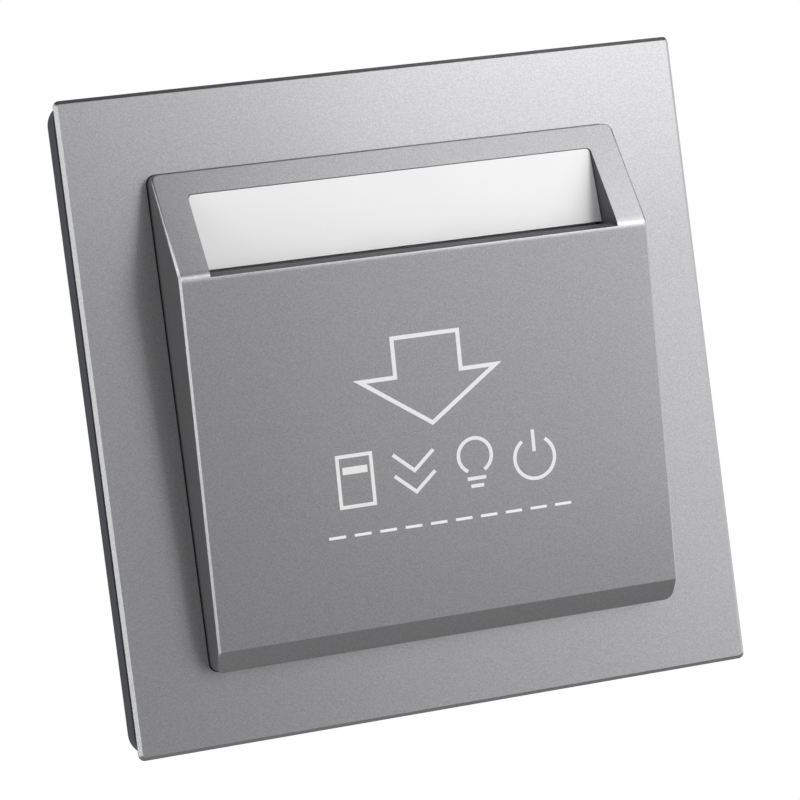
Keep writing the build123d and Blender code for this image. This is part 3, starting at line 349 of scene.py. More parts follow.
def plated_metal(name, code, roughness, streak=0.25):
    """Bare or plated metal with faint streaks and an uneven gloss. The streaks' width is in mm."""
    made, tree = new_finish(name)
    stretch = (1.0, 0.15, 1.0)
    dull_share = 0.88
    gloss_below = 0.06
    gloss_above = 0.08
    relief = 0.01 * mm
    place = add(tree, "ShaderNodeTexCoord").outputs["Object"]
    drawn = add(tree, "ShaderNodeMapping", {"Vector": place, "Scale": stretch})
    streaks = add(tree, "ShaderNodeTexNoise", {
        "Vector": drawn.outputs[0], "Scale": 1 / (streak * mm), "Detail": 3.0})
    shade = add(tree, "ShaderNodeMix", {
        0: streaks.outputs["Fac"], 6: toned(code, dull_share), 7: linear(code)}, data_type="RGBA")
    gloss = add(tree, "ShaderNodeMapRange", {
        0: streaks.outputs["Fac"], 1: noise_low, 2: noise_high, 3: roughness - gloss_below,
        4: roughness + gloss_above})
    slope = add(tree, "ShaderNodeBump", {
        "Height": streaks.outputs["Fac"], "Strength": 0.15, "Distance": relief})
    return finished(made, add(tree, "ShaderNodeBsdfPrincipled", {
        "Base Color": shade.outputs[2], "Metallic": 1.0, "Roughness": gloss.outputs[0],
        "Normal": slope.outputs[0]}))


zinc_steel = plated_metal("zinc_plated_steel", "C4C6C9", 0.30)
spring_wire = plated_metal("drawn_spring_wire", "A8A9AC", 0.28)
tinned_copper = plated_metal("tinned_copper", "CFCFCC", 0.25)
enamelled_copper = plated_metal("enamelled_copper", "B86A3C", 0.32)
nickel_iron = plated_metal("nickel_plated_iron", "BDBBB4", 0.35)
brass_strip = plated_metal("rolled_brass", "CDB06A", 0.3)
solder_metal = plated_metal("solder", "C9CACC", 0.22, streak=0.5)
print("metals ready")

# %% [markdown]
# ## Clear and printed finishes
# The light guide is clear acrylic. The arrow and the small signs on the front are screen printed in white
# ink, which lies on the lacquer as a thin matt film. The circuit board is glass fibre under a green
# solder mask, through which the copper tracks show as paler bands. An image could draw the tracks. Long
# bricks in rows are enough here, because the components hide most of the board.

# %% Clear plastic, ink and board


def clear_acrylic(name):
    """Moulded acrylic: clear and glossy, with the faint flow marks of its mould."""
    made, tree = new_finish(name)
    flow_width = 4 * mm
    glossiest = 0.04
    dullest = 0.12
    place = add(tree, "ShaderNodeTexCoord").outputs["Object"]
    flow = add(tree, "ShaderNodeTexNoise", {"Vector": place, "Scale": 1 / flow_width, "Detail": 1.0})
    gloss = add(tree, "ShaderNodeMapRange", {0: flow.outputs["Fac"], 3: glossiest, 4: dullest})
    return finished(made, add(tree, "ShaderNodeBsdfPrincipled", {
        "Base Color": linear("F2F5F6"), "Roughness": gloss.outputs[0], "IOR": 1.49,
        "Transmission Weight": 0.9}))


def screen_ink(name, code):
    """Screen-printed ink: matt, and a little thinner where the threads of the screen lay."""
    made, tree = new_finish(name)
    thread_spacing = 0.15 * mm
    thin_share = 0.94
    place = add(tree, "ShaderNodeTexCoord").outputs["Object"]
    screen = add(tree, "ShaderNodeTexNoise", {"Vector": place, "Scale": 1 / thread_spacing, "Detail": 1.0})
    shade = add(tree, "ShaderNodeMix", {
        0: screen.outputs["Fac"], 6: toned(code, thin_share), 7: linear(code)}, data_type="RGBA")
    return finished(made, add(tree, "ShaderNodeBsdfPrincipled", {
        "Base Color": shade.outputs[2], "Roughness": 0.5}))


def solder_mask(name):
    """Solder mask: a smooth green coat over copper tracks and the weave of the glass fibre."""
    made, tree = new_finish(name)
    track_pitch = 2.54 * mm
    weave_width = 0.5 * mm
    relief = 0.01 * mm
    # Length, width and gap of a track, in units of four track pitches.
    track_length = 1.7
    track_width = 0.125
    track_gap = 0.028
    place = add(tree, "ShaderNodeTexCoord").outputs["Object"]
    upright = add(tree, "ShaderNodeMapping", {"Vector": place, "Rotation": (math.pi / 2, 0, 0)})
    tracks = add(tree, "ShaderNodeTexBrick", {
        "Vector": upright.outputs[0], "Scale": 1 / (4 * track_pitch), "Brick Width": track_length,
        "Row Height": track_width, "Mortar Size": track_gap, "Color1": linear("1D5C36"),
        "Color2": linear("2B7247"), "Mortar": linear("164A2B")}, offset=0.35, offset_frequency=3)
    weave = add(tree, "ShaderNodeTexNoise", {"Vector": place, "Scale": 1 / weave_width, "Detail": 2.0})
    slope = add(tree, "ShaderNodeBump", {
        "Height": weave.outputs["Fac"], "Strength": 0.2, "Distance": relief})
    return finished(made, add(tree, "ShaderNodeBsdfPrincipled", {
        "Base Color": tracks.outputs["Color"], "Roughness": 0.35, "Normal": slope.outputs[0]}))


light_guide_acrylic = clear_acrylic("clear_acrylic")
white_ink = screen_ink("white_screen_ink", "F4F4F4")
board_mask = solder_mask("green_solder_mask")
print("clear, printed and board finishes ready")

# %% [markdown]
# ## Smooth copies of rounded solids
# A CAD node arrives as loose triangles, so a rounded edge would show its facets. For a rounded piece, a
# copy is merged, shaded smooth with sharp edges kept, and shown in place of the node. Subdivision would
# smooth the piece too, but pulls it away from its true size. Weighted normals keep the flat faces flat
# beside a fillet.

# %% Copy helpers
sharp_angle = math.radians(28)
flat_angle = math.radians(0.3)
merge_distance = 0.002 * mm
shank_slack = 0.02 * mm


def put(mesh, name, finishes=()):
    """Makes an object of a mesh, linked into the scene, and adds these materials to the mesh."""
    for finish in finishes:
        mesh.materials.append(finish)
    made = bpy.data.objects.new(name, mesh)
    scene.collection.objects.link(made)
    return made


def claim(piece, body, slot, *stands_for):
    """The piece rides on a body and stands for CAD nodes. Its slot is not used."""
    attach(piece, body)
    if stands_for:
        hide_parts(*stands_for)
    return piece


def applied(piece):
    """The piece's mesh with its modifiers applied, on a fresh plain object of the same name."""
    graph = bpy.context.evaluated_depsgraph_get()
    mesh = bpy.data.meshes.new_from_object(piece.evaluated_get(graph))
    name = piece.name
    bpy.data.objects.remove(piece)
    mesh.name = name
    return put(mesh, name)


def crisp(piece):
    """Shades a piece smooth except across its sharp edges, and keeps its flat faces flat."""
    work = bmesh.new()
    work.from_mesh(piece.data)
    for face in work.faces:
        face.smooth = True
    for edge in work.edges:
        edge.smooth = len(edge.link_faces) == 2 and edge.calc_face_angle() < sharp_angle
    work.to_mesh(piece.data)
    work.free()
    weigh = piece.modifiers.new("flat faces", "WEIGHTED_NORMAL")
    weigh.keep_sharp = True
    return applied(piece)


def smooth_copy(node, name, finishes, choose=None, thinned=(), moved=None):
    """A merged, smooth-shaded copy of a CAD node. choose(centre, normal) picks each face's finish. thinned
    is (middles, radius, core): a cylinder of that radius round each middle is drawn in to the core's radius.
    moved(place) gives each vertex its new place, and faces that then lie in one plane become one."""
    work = bmesh.new()
    work.from_mesh(cad[node].data)
    bmesh.ops.remove_doubles(work, verts=work.verts, dist=merge_distance)
    if thinned:
        middles, radius, core = thinned
        for vertex in work.verts:
            middle = min(middles, key=lambda m: (vertex.co.x - m.x) ** 2 + (vertex.co.z - m.z) ** 2)
            out = Vector((vertex.co.x - middle.x, 0, vertex.co.z - middle.z))
            if abs(out.length - radius) < shank_slack:
                vertex.co -= out * (1 - core / out.length)
    if choose:
        for face in work.faces:
            face.material_index = choose(face.calc_center_median(), face.normal)
    if moved:
        for vertex in work.verts:
            vertex.co = moved(vertex.co)
        bmesh.ops.dissolve_limit(work, angle_limit=flat_angle, verts=work.verts, edges=work.edges,
                                 delimit={"MATERIAL"})
    mesh = bpy.data.meshes.new(name)
    work.to_mesh(mesh)
    work.free()
    return crisp(put(mesh, name, finishes))


print("edges that bend by more than", round(math.degrees(sharp_angle)), "degrees stay sharp")

# %% [markdown]
# ## Housing
# The housing is sprayed from the front and below after moulding, and the mouth's top wall gets its coat.
# The mouth's other walls and the lip's inner slope are given a dark plastic, whose darkness is painted
# shade for the deep pocket; the hidden inside of the shell is bare plastic. The faces could be picked by
# hand.
# A rule by place and direction is used, because it still holds when the model changes.

# %% Lacquer, and the dark plastic of painted shade
ridge_height = 16.04
ridge_level = 18.32
front_angle = math.radians(5.65)
slope_angle = math.radians(31.92)
inner_depth = 0.3
chin_level = -29.5
housing_side = 31.7
housing_head = 31.3
facing_down = -0.7
facing_wall = 0.5


def shaded_and_unsprayed(centre, normal):
    """1 for faces inside the mouth, where the dark plastic is painted shade, and inside the shell, which is
    bare, and 0 outside.
    """
    x, height, level = abs(centre.x) / mm, -centre.y / mm, centre.z / mm
    if x > housing_side or level > housing_head:
        return 0
    if level > ridge_level and normal.z < facing_down:
        return 0
    if level < chin_level:
        return int(normal.y > facing_wall)
    front = ridge_height - (ridge_level - level) * math.tan(front_angle)
    slope = ridge_height - (level - ridge_level) * math.tan(slope_angle)
    return int(height < min(front, slope) - inner_depth)


room_side = Vector((0, -1, 0))
print("middle of the front:", ("sprayed", "bare")[shaded_and_unsprayed(room_side * ridge_height * mm, room_side)])

# %% [markdown]
# ## Chamfers
# The CAD model rounds the housing's outer edges. The real left and right edges are flat, narrow chamfers,
# which catch the light as one bright line. Bevelling can't cut them, because the round is there already,
# so its vertices move onto its chord. Along the ridge the chord turns with the ridge's own larger round.

# %% Chamfer rule
housing_half = 32.15
edge_radius = 0.3
ridge_radius = 2.5
straight_top = 30.95
front_rise = math.tan(front_angle)
ridge_shift = (1 / math.cos(front_angle) - 1 / math.cos(slope_angle)) / (front_rise + math.tan(slope_angle))
round_level = ridge_level + ridge_radius * ridge_shift
round_height = (ridge_height - (ridge_level - round_level) * front_rise
                - ridge_radius / math.cos(front_angle))


def on_chamfer(place):
    """A vertex of the rounded left or right edge, moved onto the round's chord. Others keep their place."""
    away = Vector((0, place.z / mm - round_level, -place.y / mm - round_height))
    lean = min(max(math.atan2(away.y, away.z), -front_angle), slope_angle)
    outward = Vector((0, math.sin(lean), math.cos(lean)))
    depth = ridge_radius - away.dot(outward)
    aside = housing_half - abs(place.x) / mm
    if depth > edge_radius or aside > edge_radius or place.z / mm > straight_top:
        return place
    shift = (edge_radius - depth - aside) / 2
    return place + Vector((-math.copysign(shift, place.x), shift * outward.z, -shift * outward.y)) * mm


print("middle of the ridge's round: level", round(round_level, 2), "height", round(round_height, 2))

# %% Housing, carrier and light panel
# Inside the mouth the housing takes the dark plastic as painted shade.
housing = claim(smooth_copy("housing", "grey_housing", [frame_lacquer, shade_and_bare_plastic], shaded_and_unsprayed,
                            moved=on_chamfer), "switch", "frame_paint", "housing")
carrier = claim(smooth_copy("carrier_plate", "carrier_tray", [carrier_plastic]),
                "switch", "carrier_plastic", "carrier_plate")
panel = claim(smooth_copy("light_panel", "white_light_panel", [panel_plastic]),
              "switch", "panel_white", "light_panel")
for piece in (housing, carrier, panel):
    print(piece.name, len(piece.data.polygons), "faces")

# %% [markdown]
# ## Geometry Nodes
# What follows a rule is made by a node tree: the square frame, its clips, screw threads, solder joints
# and the row of printed dashes. A tree gets its places as the points of an incoming mesh and its sizes as
# named inputs, so one tree serves many pieces. Its result is turned into a plain mesh at once, so nothing
# live stays in the scene.

# %% Tree helpers


def new_tree(name, sizes):
    """A Geometry Nodes tree with these named inputs and a material, as (tree, its inputs, its result)."""
    tree = bpy.data.node_groups.new(name, "GeometryNodeTree")
    sockets = tree.interface
    sockets.new_socket("Geometry", in_out="INPUT", socket_type="NodeSocketGeometry")
    for label, value in sizes.items():
        kind = "NodeSocketInt" if isinstance(value, int) else "NodeSocketFloat"
        sockets.new_socket(label, in_out="INPUT", socket_type=kind).default_value = value
    sockets.new_socket("Material", in_out="INPUT", socket_type="NodeSocketMaterial")
    sockets.new_socket("Geometry", in_out="OUTPUT", socket_type="NodeSocketGeometry")
    return tree, add(tree, "NodeGroupInput").outputs, add(tree, "NodeGroupOutput").inputs


def close_tree(tree, given, result, grown):
    """Ends a tree: its instances are made real and take the material."""
    real = add(tree, "GeometryNodeRealizeInstances", {"Geometry": grown})
    coated = add(tree, "GeometryNodeSetMaterial", {
        "Geometry": real.outputs[0], "Material": given["Material"]})
    tree.links.new(coated.outputs[0], result[0])


def grow(name, tree, places, finish, sizes=None):
    """Runs a tree on places, in metres, and returns what it makes as a plain piece."""
    start = bpy.data.meshes.new(name)
    start.from_pydata([tuple(place) for place in places], [], [])
    piece = put(start, name)
    rule = piece.modifiers.new(tree.name, "NODES")
    rule.node_group = tree
    wanted = {"Material": finish, **(sizes or {})}
    for item in tree.interface.items_tree:
        if item.in_out == "INPUT" and item.name in wanted:
            rule[item.identifier] = wanted[item.name]
    return applied(piece)


print("each tree takes places, sizes and a finish")

# %% [markdown]
# ## Square frame
# The frame is one thin moulding: a bevelled face, a short rim, a groove all round behind it that throws
# the dark line on the wall side, and an opening that follows the housing. It could be a box with bevels
# and a hole cut in it. But every section of it is a rounded rectangle at some height, so the tree takes a
# list of such rings and skins them, the last to the first, and each edge lies exactly where its ring
# says. Each ring comes in as two points: (half width, half length, height) and (corner radius, level of
# its middle, 0). The skin starts as a flat grid. Sums give each vertex its ring, its corner and the angle
# round that corner. They are written as a table, because the tree would be a long list of like lines
# without it.

# %% Sums of the ring tree
rings_tree, given, result = new_tree("skinned rings", {"Rings": 7, "Corner Steps": 8})
quarter_turn = math.pi / 2
sums = [
    ("corner points", "ADD", "Corner Steps", 1.0),
    ("ring points", "MULTIPLY", "corner points", 4.0),
    ("columns", "ADD", "ring points", 1.0),
    ("rows", "ADD", "Rings", 1.0),
    ("past vertex", "ADD", "vertex", 0.5),
    ("row share", "DIVIDE", "past vertex", "columns"),
    ("row", "FLOOR", "row share"),
    ("ring", "MODULO", "row", "Rings"),
    ("column", "MODULO", "vertex", "columns"),
    ("step", "MODULO", "column", "ring points"),
    ("past step", "ADD", "step", 0.5),
    ("corner share", "DIVIDE", "past step", "corner points"),
    ("corner", "FLOOR", "corner share"),
    ("corner step", "MODULO", "step", "corner points"),
    ("turn share", "DIVIDE", "corner step", "Corner Steps"),
    ("quarters", "ADD", "corner", "turn share"),
    ("angle", "MULTIPLY", "quarters", quarter_turn),
    ("out across", "COSINE", "angle"),
    ("out along", "SINE", "angle"),
    ("half on", "ADD", "corner", 0.5),
    ("middle angle", "MULTIPLY", "half on", quarter_turn),
    ("side across", "COSINE", "middle angle"),
    ("side along", "SINE", "middle angle"),
    ("first point", "MULTIPLY", "ring", 2.0),
    ("second point", "ADD", "first point", 1.0),
]
worked_out = {"vertex": add(rings_tree, "GeometryNodeInputIndex").outputs[0], "Rings": given["Rings"],
              "Corner Steps": given["Corner Steps"]}
for name, operation, *terms in sums:
    inputs = {number: worked_out.get(term, term) for number, term in enumerate(terms)}
    worked_out[name] = add(rings_tree, "ShaderNodeMath", inputs, operation=operation).outputs[0]
print(len(sums), "sums for each vertex")

# %% Skin of the ring tree
grid = add(rings_tree, "GeometryNodeMeshGrid", {
    "Vertices X": worked_out["rows"], "Vertices Y": worked_out["columns"]})
place = add(rings_tree, "GeometryNodeInputPosition").outputs[0]
halves, rounding = (add(rings_tree, "GeometryNodeSampleIndex", {
    "Geometry": given["Geometry"], "Value": place, "Index": worked_out[point]},
    data_type="FLOAT_VECTOR").outputs[0] for point in ("first point", "second point"))
ring_height = add(rings_tree, "ShaderNodeSeparateXYZ", {0: halves}).outputs[2]
radius, middle_level, _ = add(rings_tree, "ShaderNodeSeparateXYZ", {0: rounding}).outputs
out = add(rings_tree, "ShaderNodeCombineXYZ", {0: worked_out["out across"], 1: worked_out["out along"]})
side = add(rings_tree, "ShaderNodeCombineXYZ", {0: worked_out["side across"], 1: worked_out["side along"]})
signs = add(rings_tree, "ShaderNodeVectorMath", {0: side.outputs[0]}, operation="SIGN")
reach = add(rings_tree, "ShaderNodeVectorMath", {0: halves, 1: radius}, operation="SUBTRACT")
centre = add(rings_tree, "ShaderNodeVectorMath", {0: reach.outputs[0], 1: signs.outputs[0]},
             operation="MULTIPLY")
bend = add(rings_tree, "ShaderNodeVectorMath", {0: out.outputs[0], "Scale": radius}, operation="SCALE")
flat = add(rings_tree, "ShaderNodeVectorMath", {0: centre.outputs[0], 1: bend.outputs[0]}, operation="ADD")
across, along, _ = add(rings_tree, "ShaderNodeSeparateXYZ", {0: flat.outputs[0]}).outputs
lifted = add(rings_tree, "ShaderNodeMath", {0: along, 1: middle_level}, operation="ADD")
to_room = add(rings_tree, "ShaderNodeMath", {0: ring_height, 1: -1.0}, operation="MULTIPLY")
on_ring = add(rings_tree, "ShaderNodeCombineXYZ", {0: across, 1: to_room.outputs[0], 2: lifted.outputs[0]})
skin = add(rings_tree, "GeometryNodeSetPosition", {
    "Geometry": grid.outputs[0], "Position": on_ring.outputs[0]})
closed = add(rings_tree, "GeometryNodeMergeByDistance", {
    "Geometry": skin.outputs[0], "Distance": merge_distance})
close_tree(rings_tree, given, result, closed.outputs[0])
print(len(rings_tree.nodes), "nodes in the ring tree")

# %% Frame
frame_half = 43.0
face_height = 5.5
frame_bevel = 0.5
rim_back = 4.8
frame_back = 3.9
groove_depth = 1.0
corner_radius = 0.8
opening_half_width = 32.3
opening_half_length = 32.64
opening_level = -0.44
opening_radius = 1.25
face_half = frame_half - frame_bevel
groove_half = frame_half - groove_depth
small_radius = corner_radius - frame_bevel
# Half width, half length, height, corner radius and level of the middle.
frame_rings = [
    (face_half, face_half, face_height, small_radius, 0),
    (frame_half, frame_half, face_height - frame_bevel, corner_radius, 0),
    (frame_half, frame_half, rim_back, corner_radius, 0),
    (groove_half, groove_half, rim_back, small_radius, 0),
    (groove_half, groove_half, frame_back, small_radius, 0),
    (opening_half_width, opening_half_length, frame_back, opening_radius, opening_level),
    (opening_half_width, opening_half_length, face_height, opening_radius, opening_level),
]
ring_points = []
for half_width, half_length, height, radius, level_of_middle in frame_rings:
    ring_points.append(Vector((half_width, half_length, height)) * mm)
    ring_points.append(Vector((radius, level_of_middle, 0)) * mm)
plate = crisp(grow("square_frame", rings_tree, ring_points, frame_lacquer, {"Rings": len(frame_rings)}))
claim(plate, "switch", "frame_paint", "front_frame")
work = bmesh.new()
work.from_mesh(plate.data)
print("frame", len(work.faces), "faces, volume in mm3", round(work.calc_volume(signed=True) / mm ** 3),
      "open edges", sum(not edge.is_manifold for edge in work.edges))
work.free()

# %% [markdown]
# ## Blocks in a row
# A second tree puts a box of a given size on each point and tilts it. It makes the frame's four spring
# clips with their nibs, and the printed dashes later. Loose cubes would look the same, but the tree keeps
# a row in one mesh and its sizes in one place.

# %% Block tree
block_tree, given, result = new_tree("blocks", {
    "Width": 1 * mm, "Depth": 1 * mm, "Height": 1 * mm, "Tilt": 0.0})
block_size = add(block_tree, "ShaderNodeCombineXYZ", {
    0: given["Width"], 1: given["Depth"], 2: given["Height"]})
block = add(block_tree, "GeometryNodeMeshCube", {"Size": block_size.outputs[0]})
lean = add(block_tree, "ShaderNodeCombineXYZ", {0: given["Tilt"]})
row_of_blocks = add(block_tree, "GeometryNodeInstanceOnPoints", {
    "Points": given["Geometry"], "Instance": block.outputs[0], "Rotation": lean.outputs[0]})
close_tree(block_tree, given, result, row_of_blocks.outputs[0])
print(len(block_tree.nodes), "nodes in the block tree")

# %% Clips
clip_length = 7.0
clip_level = 20.0
clip_from = 1.75
# Name, distance from the middle of the switch, width and front end.
clip_rows = [("frame_clips", 34.5, 1.2, 3.9), ("frame_clip_nibs", 33.9, 1.0, 2.55)]
for name, clip_side, width, clip_to in clip_rows:
    places = [Vector((x * clip_side, -(clip_from + clip_to) / 2, z * clip_level)) * mm
              for x in (-1, 1) for z in (-1, 1)]
    claim(grow(name, block_tree, places, frame_lacquer, {
        "Width": width * mm, "Depth": (clip_to - clip_from) * mm, "Height": clip_length * mm}),
          "switch", "frame_paint")
    print(name, len(places), "blocks")

# %% [markdown]
# ## Finishes on the other solids
# The hidden pieces keep their CAD shapes, and are copied smooth as above. A lead that belongs to a
# component is tinned where it leaves the body, so those copies choose the finish by place. They could be
# cut in two pieces instead, but a component is bought and fitted as one.

# %% Components with leads
board_front = 5.0 * mm
board_rear = 6.6 * mm
hair = 0.01 * mm


def leads_forward(centre, normal):
    """Tinned where a rear component's lead passes into the board."""
    return int(centre.y < board_rear - hair)


def leads_back(centre, normal):
    """Tinned where a front component's lead passes into the board."""
    return int(centre.y > board_front + hair)


rear_components = {
    "film_capacitor": ("film_capacitor_body", film_box, "film_capacitor_box"),
    "smoothing_capacitor": ("capacitor_can", sleeve_plastic, "capacitor_sleeve"),
    "varistor": ("varistor_disc", varistor_coat, "varistor_coat"),
    "rectifier": ("rectifier_body", chip_epoxy, "chip_plastic"),
    "timer_chip": ("timer_chip_body", chip_epoxy, "chip_plastic"),
    "resistors": ("resistor_row", resistor_coat, "resistor_coat"),
    "relay_base": ("relay_base_tray", relay_base_plastic, "relay_base_plastic"),
}
for node, (name, finish, slot) in rear_components.items():
    claim(smooth_copy(node, name, [finish, tinned_copper], leads_forward), "switch", slot, node)
claim(smooth_copy("indicator_lights", "indicator_lenses", [light_plastic, tinned_copper], leads_back),
      "switch", "light_plastic", "indicator_lights")
print(len(rear_components) + 1, "components with leads")

# %% Return spring
spring = claim(smooth_copy("lever_spring", "lever_return_spring", [spring_wire]), "switch", "steel",
               "lever_spring")
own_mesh(spring)

# %% Works
smooth_pieces = {
    "card_guide": ("pocket_rear_wall", guide_plastic, "guide_white", "switch"),
    "light_guide": ("light_pipe", light_guide_acrylic, "clear_plastic", "switch"),
    "card_lever": ("card_lever_arm", lever_plastic, "lever_plastic", "card_lever"),
    "lever_pin": ("lever_pivot_pin", zinc_steel, "steel", "switch"),
    "microswitch_case": ("microswitch_body", switch_plastic, "switch_plastic", "switch"),
    "microswitch_plunger": ("microswitch_button", plunger_plastic, "plunger_plastic", "switch_plunger"),
    "microswitch_pins": ("microswitch_leads", tinned_copper, "tinned_copper", "switch"),
    "relay_cover": ("relay_can", relay_cover_plastic, "relay_plastic", "switch"),
    "relay_coil": ("relay_winding", enamelled_copper, "coil_copper", "switch"),
    "relay_yoke": ("relay_yoke_iron", nickel_iron, "relay_iron", "switch"),
    "relay_armature": ("relay_armature_iron", nickel_iron, "relay_iron", "armature"),
    "relay_blade": ("relay_contact_blade", brass_strip, "contact_brass", "armature"),
    "relay_contact": ("relay_fixed_contact", brass_strip, "contact_brass", "switch"),
    "terminal_block": ("terminal_housing", block_plastic, "block_plastic", "switch"),
    "contact_bars": ("terminal_bars", brass_strip, "contact_brass", "switch"),
    "rear_box": ("rear_box_shell", box_plastic, "box_plastic", "switch"),
    "circuit_board": ("board", board_mask, "board", "switch"),
}
terminals = {"left": -11.7, "centre": 0.0, "right": 11.7}
for side in terminals:
    smooth_pieces[f"terminal_cage_{side}"] = (f"clamp_cage_{side}", zinc_steel, "steel", f"cage_{side}")
for node, (name, finish, slot, body) in smooth_pieces.items():
    claim(smooth_copy(node, name, [finish]), body, slot, node)
print(len(smooth_pieces), "pieces of the works")

# %% [markdown]
# ## Screws with threads
# In the CAD model a screw's shank is a plain cylinder as thick as its thread. Here the shank is drawn in
# to the thread's core, and a helical ridge of lozenge section is wound round it by a tree, one for each
# point. A bump on the shank would be lighter, but its outline would stay straight.

# %% Thread tree
into_wall = (-math.pi / 2, 0, 0)
thread_tree, given, result = new_tree("screw thread", {
    "Pitch": 0.7 * mm, "Ridge Radius": 1.7 * mm, "Ridge Depth": 0.26 * mm, "Length": 10 * mm, "Steps": 28})
turns = add(thread_tree, "ShaderNodeMath", {0: given["Length"], 1: given["Pitch"]}, operation="DIVIDE")
helix = add(thread_tree, "GeometryNodeCurveSpiral", {
    "Resolution": given["Steps"], "Rotations": turns.outputs[0], "Start Radius": given["Ridge Radius"],
    "End Radius": given["Ridge Radius"], "Height": given["Length"]})
upright = add(thread_tree, "GeometryNodeSetCurveNormal", {"Curve": helix.outputs[0]}, mode="Z_UP")
lozenge = add(thread_tree, "GeometryNodeCurvePrimitiveCircle", {
    "Resolution": 4, "Radius": given["Ridge Depth"]})
ridge = add(thread_tree, "GeometryNodeCurveToMesh", {
    "Curve": upright.outputs[0], "Profile Curve": lozenge.outputs[0], "Fill Caps": True})
wound = add(thread_tree, "GeometryNodeInstanceOnPoints", {
    "Points": given["Geometry"], "Instance": ridge.outputs[0], "Rotation": into_wall})
close_tree(thread_tree, given, result, wound.outputs[0])
print(len(thread_tree.nodes), "nodes in the thread tree")

# %% Screws
wall_screw_side = 30.15
box_screw_side = 20.6
terminal_screw_level = -18.8
# Shares of the thread's depth: how far outside the core the ridge's middle lies, and its reach from there.
ridge_stand = 0.1
ridge_reach = 0.85


def threaded(node, name, body, middles, radius, start, length, pitch, depth):
    """A screw's copy with its shank drawn in, and its thread as a second piece. All sizes are in mm."""
    core = radius - depth
    axes = [Vector((x, start, z)) * mm for x, z in middles]
    shank = (axes, radius * mm, core * mm)
    claim(smooth_copy(node, name, [zinc_steel], thinned=shank), body, "steel", node)
    thread = grow(name + "_thread", thread_tree, axes, zinc_steel, {
        "Pitch": pitch * mm, "Ridge Radius": (core + ridge_stand * depth) * mm,
        "Ridge Depth": ridge_reach * depth * mm, "Length": length * mm})
    claim(thread, body, "steel")
    return thread


wall_axes = [(-wall_screw_side, 0), (wall_screw_side, 0)]
box_axes = [(x * box_screw_side, z * box_screw_side) for x in (-1, 1) for z in (-1, 1)]
threads = [
    threaded("wall_screws", "wall_screw_pair", "switch", wall_axes,
             radius=2.0, start=0.5, length=22.5, pitch=0.8, depth=0.4),
    threaded("box_screws", "box_screw_set", "switch", box_axes,
             radius=1.35, start=1.0, length=15.5, pitch=0.6, depth=0.27),
]
for side, x in terminals.items():
    threads.append(threaded(
        f"terminal_screw_{side}", f"clamp_screw_{side}", f"screw_{side}", [(x, terminal_screw_level)],
        radius=1.75, start=15.1, length=5.3, pitch=0.7, depth=0.3))
print([(thread.name, len(thread.data.polygons)) for thread in threads])

# %% [markdown]
# ## Solder joints
# Every lead is soldered where it comes through the board. The solder climbs the lead in a hollow cone.
# One joint could be copied by hand to each lead. Instead the places are read from the ends of the CAD
# leads, so none is missed, and the tree puts a slightly different joint on each.

# %% Solder tree
hollowness = 0.18
smallest_joint = 0.92
solder_tree, given, result = new_tree("solder joints", {
    "Foot Radius": 0.85 * mm, "Tip Radius": 0.42 * mm, "Height": 0.9 * mm, "Turn": math.pi / 2, "Seed": 7})
cone = add(solder_tree, "GeometryNodeMeshCone", {
    "Vertices": 20, "Side Segments": 5, "Radius Top": given["Tip Radius"],
    "Radius Bottom": given["Foot Radius"], "Depth": given["Height"]})
spot = add(solder_tree, "GeometryNodeInputPosition").outputs[0]
height_here = add(solder_tree, "ShaderNodeSeparateXYZ", {0: spot}).outputs[2]
climb = add(solder_tree, "ShaderNodeMath", {0: height_here, 1: given["Height"]}, operation="DIVIDE")
bow = add(solder_tree, "ShaderNodeMath", {0: climb.outputs[0], 1: math.pi}, operation="MULTIPLY")
hollow = add(solder_tree, "ShaderNodeMath", {0: bow.outputs[0]}, operation="SINE")
narrow = add(solder_tree, "ShaderNodeMath", {0: hollow.outputs[0], 1: -hollowness, 2: 1.0},
             operation="MULTIPLY_ADD").outputs[0]
inward = add(solder_tree, "ShaderNodeCombineXYZ", {0: narrow, 1: narrow, 2: 1.0})
drawn_in = add(solder_tree, "ShaderNodeVectorMath", {0: spot, 1: inward.outputs[0]}, operation="MULTIPLY")
fillet = add(solder_tree, "GeometryNodeSetPosition", {
    "Geometry": cone.outputs[0], "Position": drawn_in.outputs[0]})
sizes_differ = add(solder_tree, "FunctionNodeRandomValue", {
    "Min": smallest_joint, "Max": 1.0, "Seed": given["Seed"]}, data_type="FLOAT")
aim = add(solder_tree, "ShaderNodeCombineXYZ", {0: given["Turn"]})
joined = add(solder_tree, "GeometryNodeInstanceOnPoints", {
    "Points": given["Geometry"], "Instance": fillet.outputs[0], "Rotation": aim.outputs[0],
    "Scale": next(output for output in sizes_differ.outputs if output.enabled)})
close_tree(solder_tree, given, result, joined.outputs[0])
print(len(solder_tree.nodes), "nodes in the solder tree")

# %% Solder joints
front_tips = 3.8 * mm
rear_tips = 7.8 * mm
lead_width = 0.6


def lead_ends(node, tip_level, board_level):
    """Points on the board's face under the ends of a node's round leads. Vertices at the tips' level that
    lie less than a lead's width apart belong to one lead."""
    tips = sorted({(round(v.co.x / mm, 2), round(v.co.z / mm, 2)) for v in cad[node].data.vertices
                   if abs(v.co.y - tip_level) < hair})
    groups = []
    for tip in tips:
        near = [group for group in groups if any(math.dist(tip, other) < lead_width for other in group)]
        groups = [group for group in groups if group not in near] + [[tip] + sum(near, [])]
    middles = []
    for group in groups:
        xs, zs = [x for x, z in group], [z for x, z in group]
        middles.append(Vector(((min(xs) + max(xs)) / 2 * mm, board_level, (min(zs) + max(zs)) / 2 * mm)))
    return middles


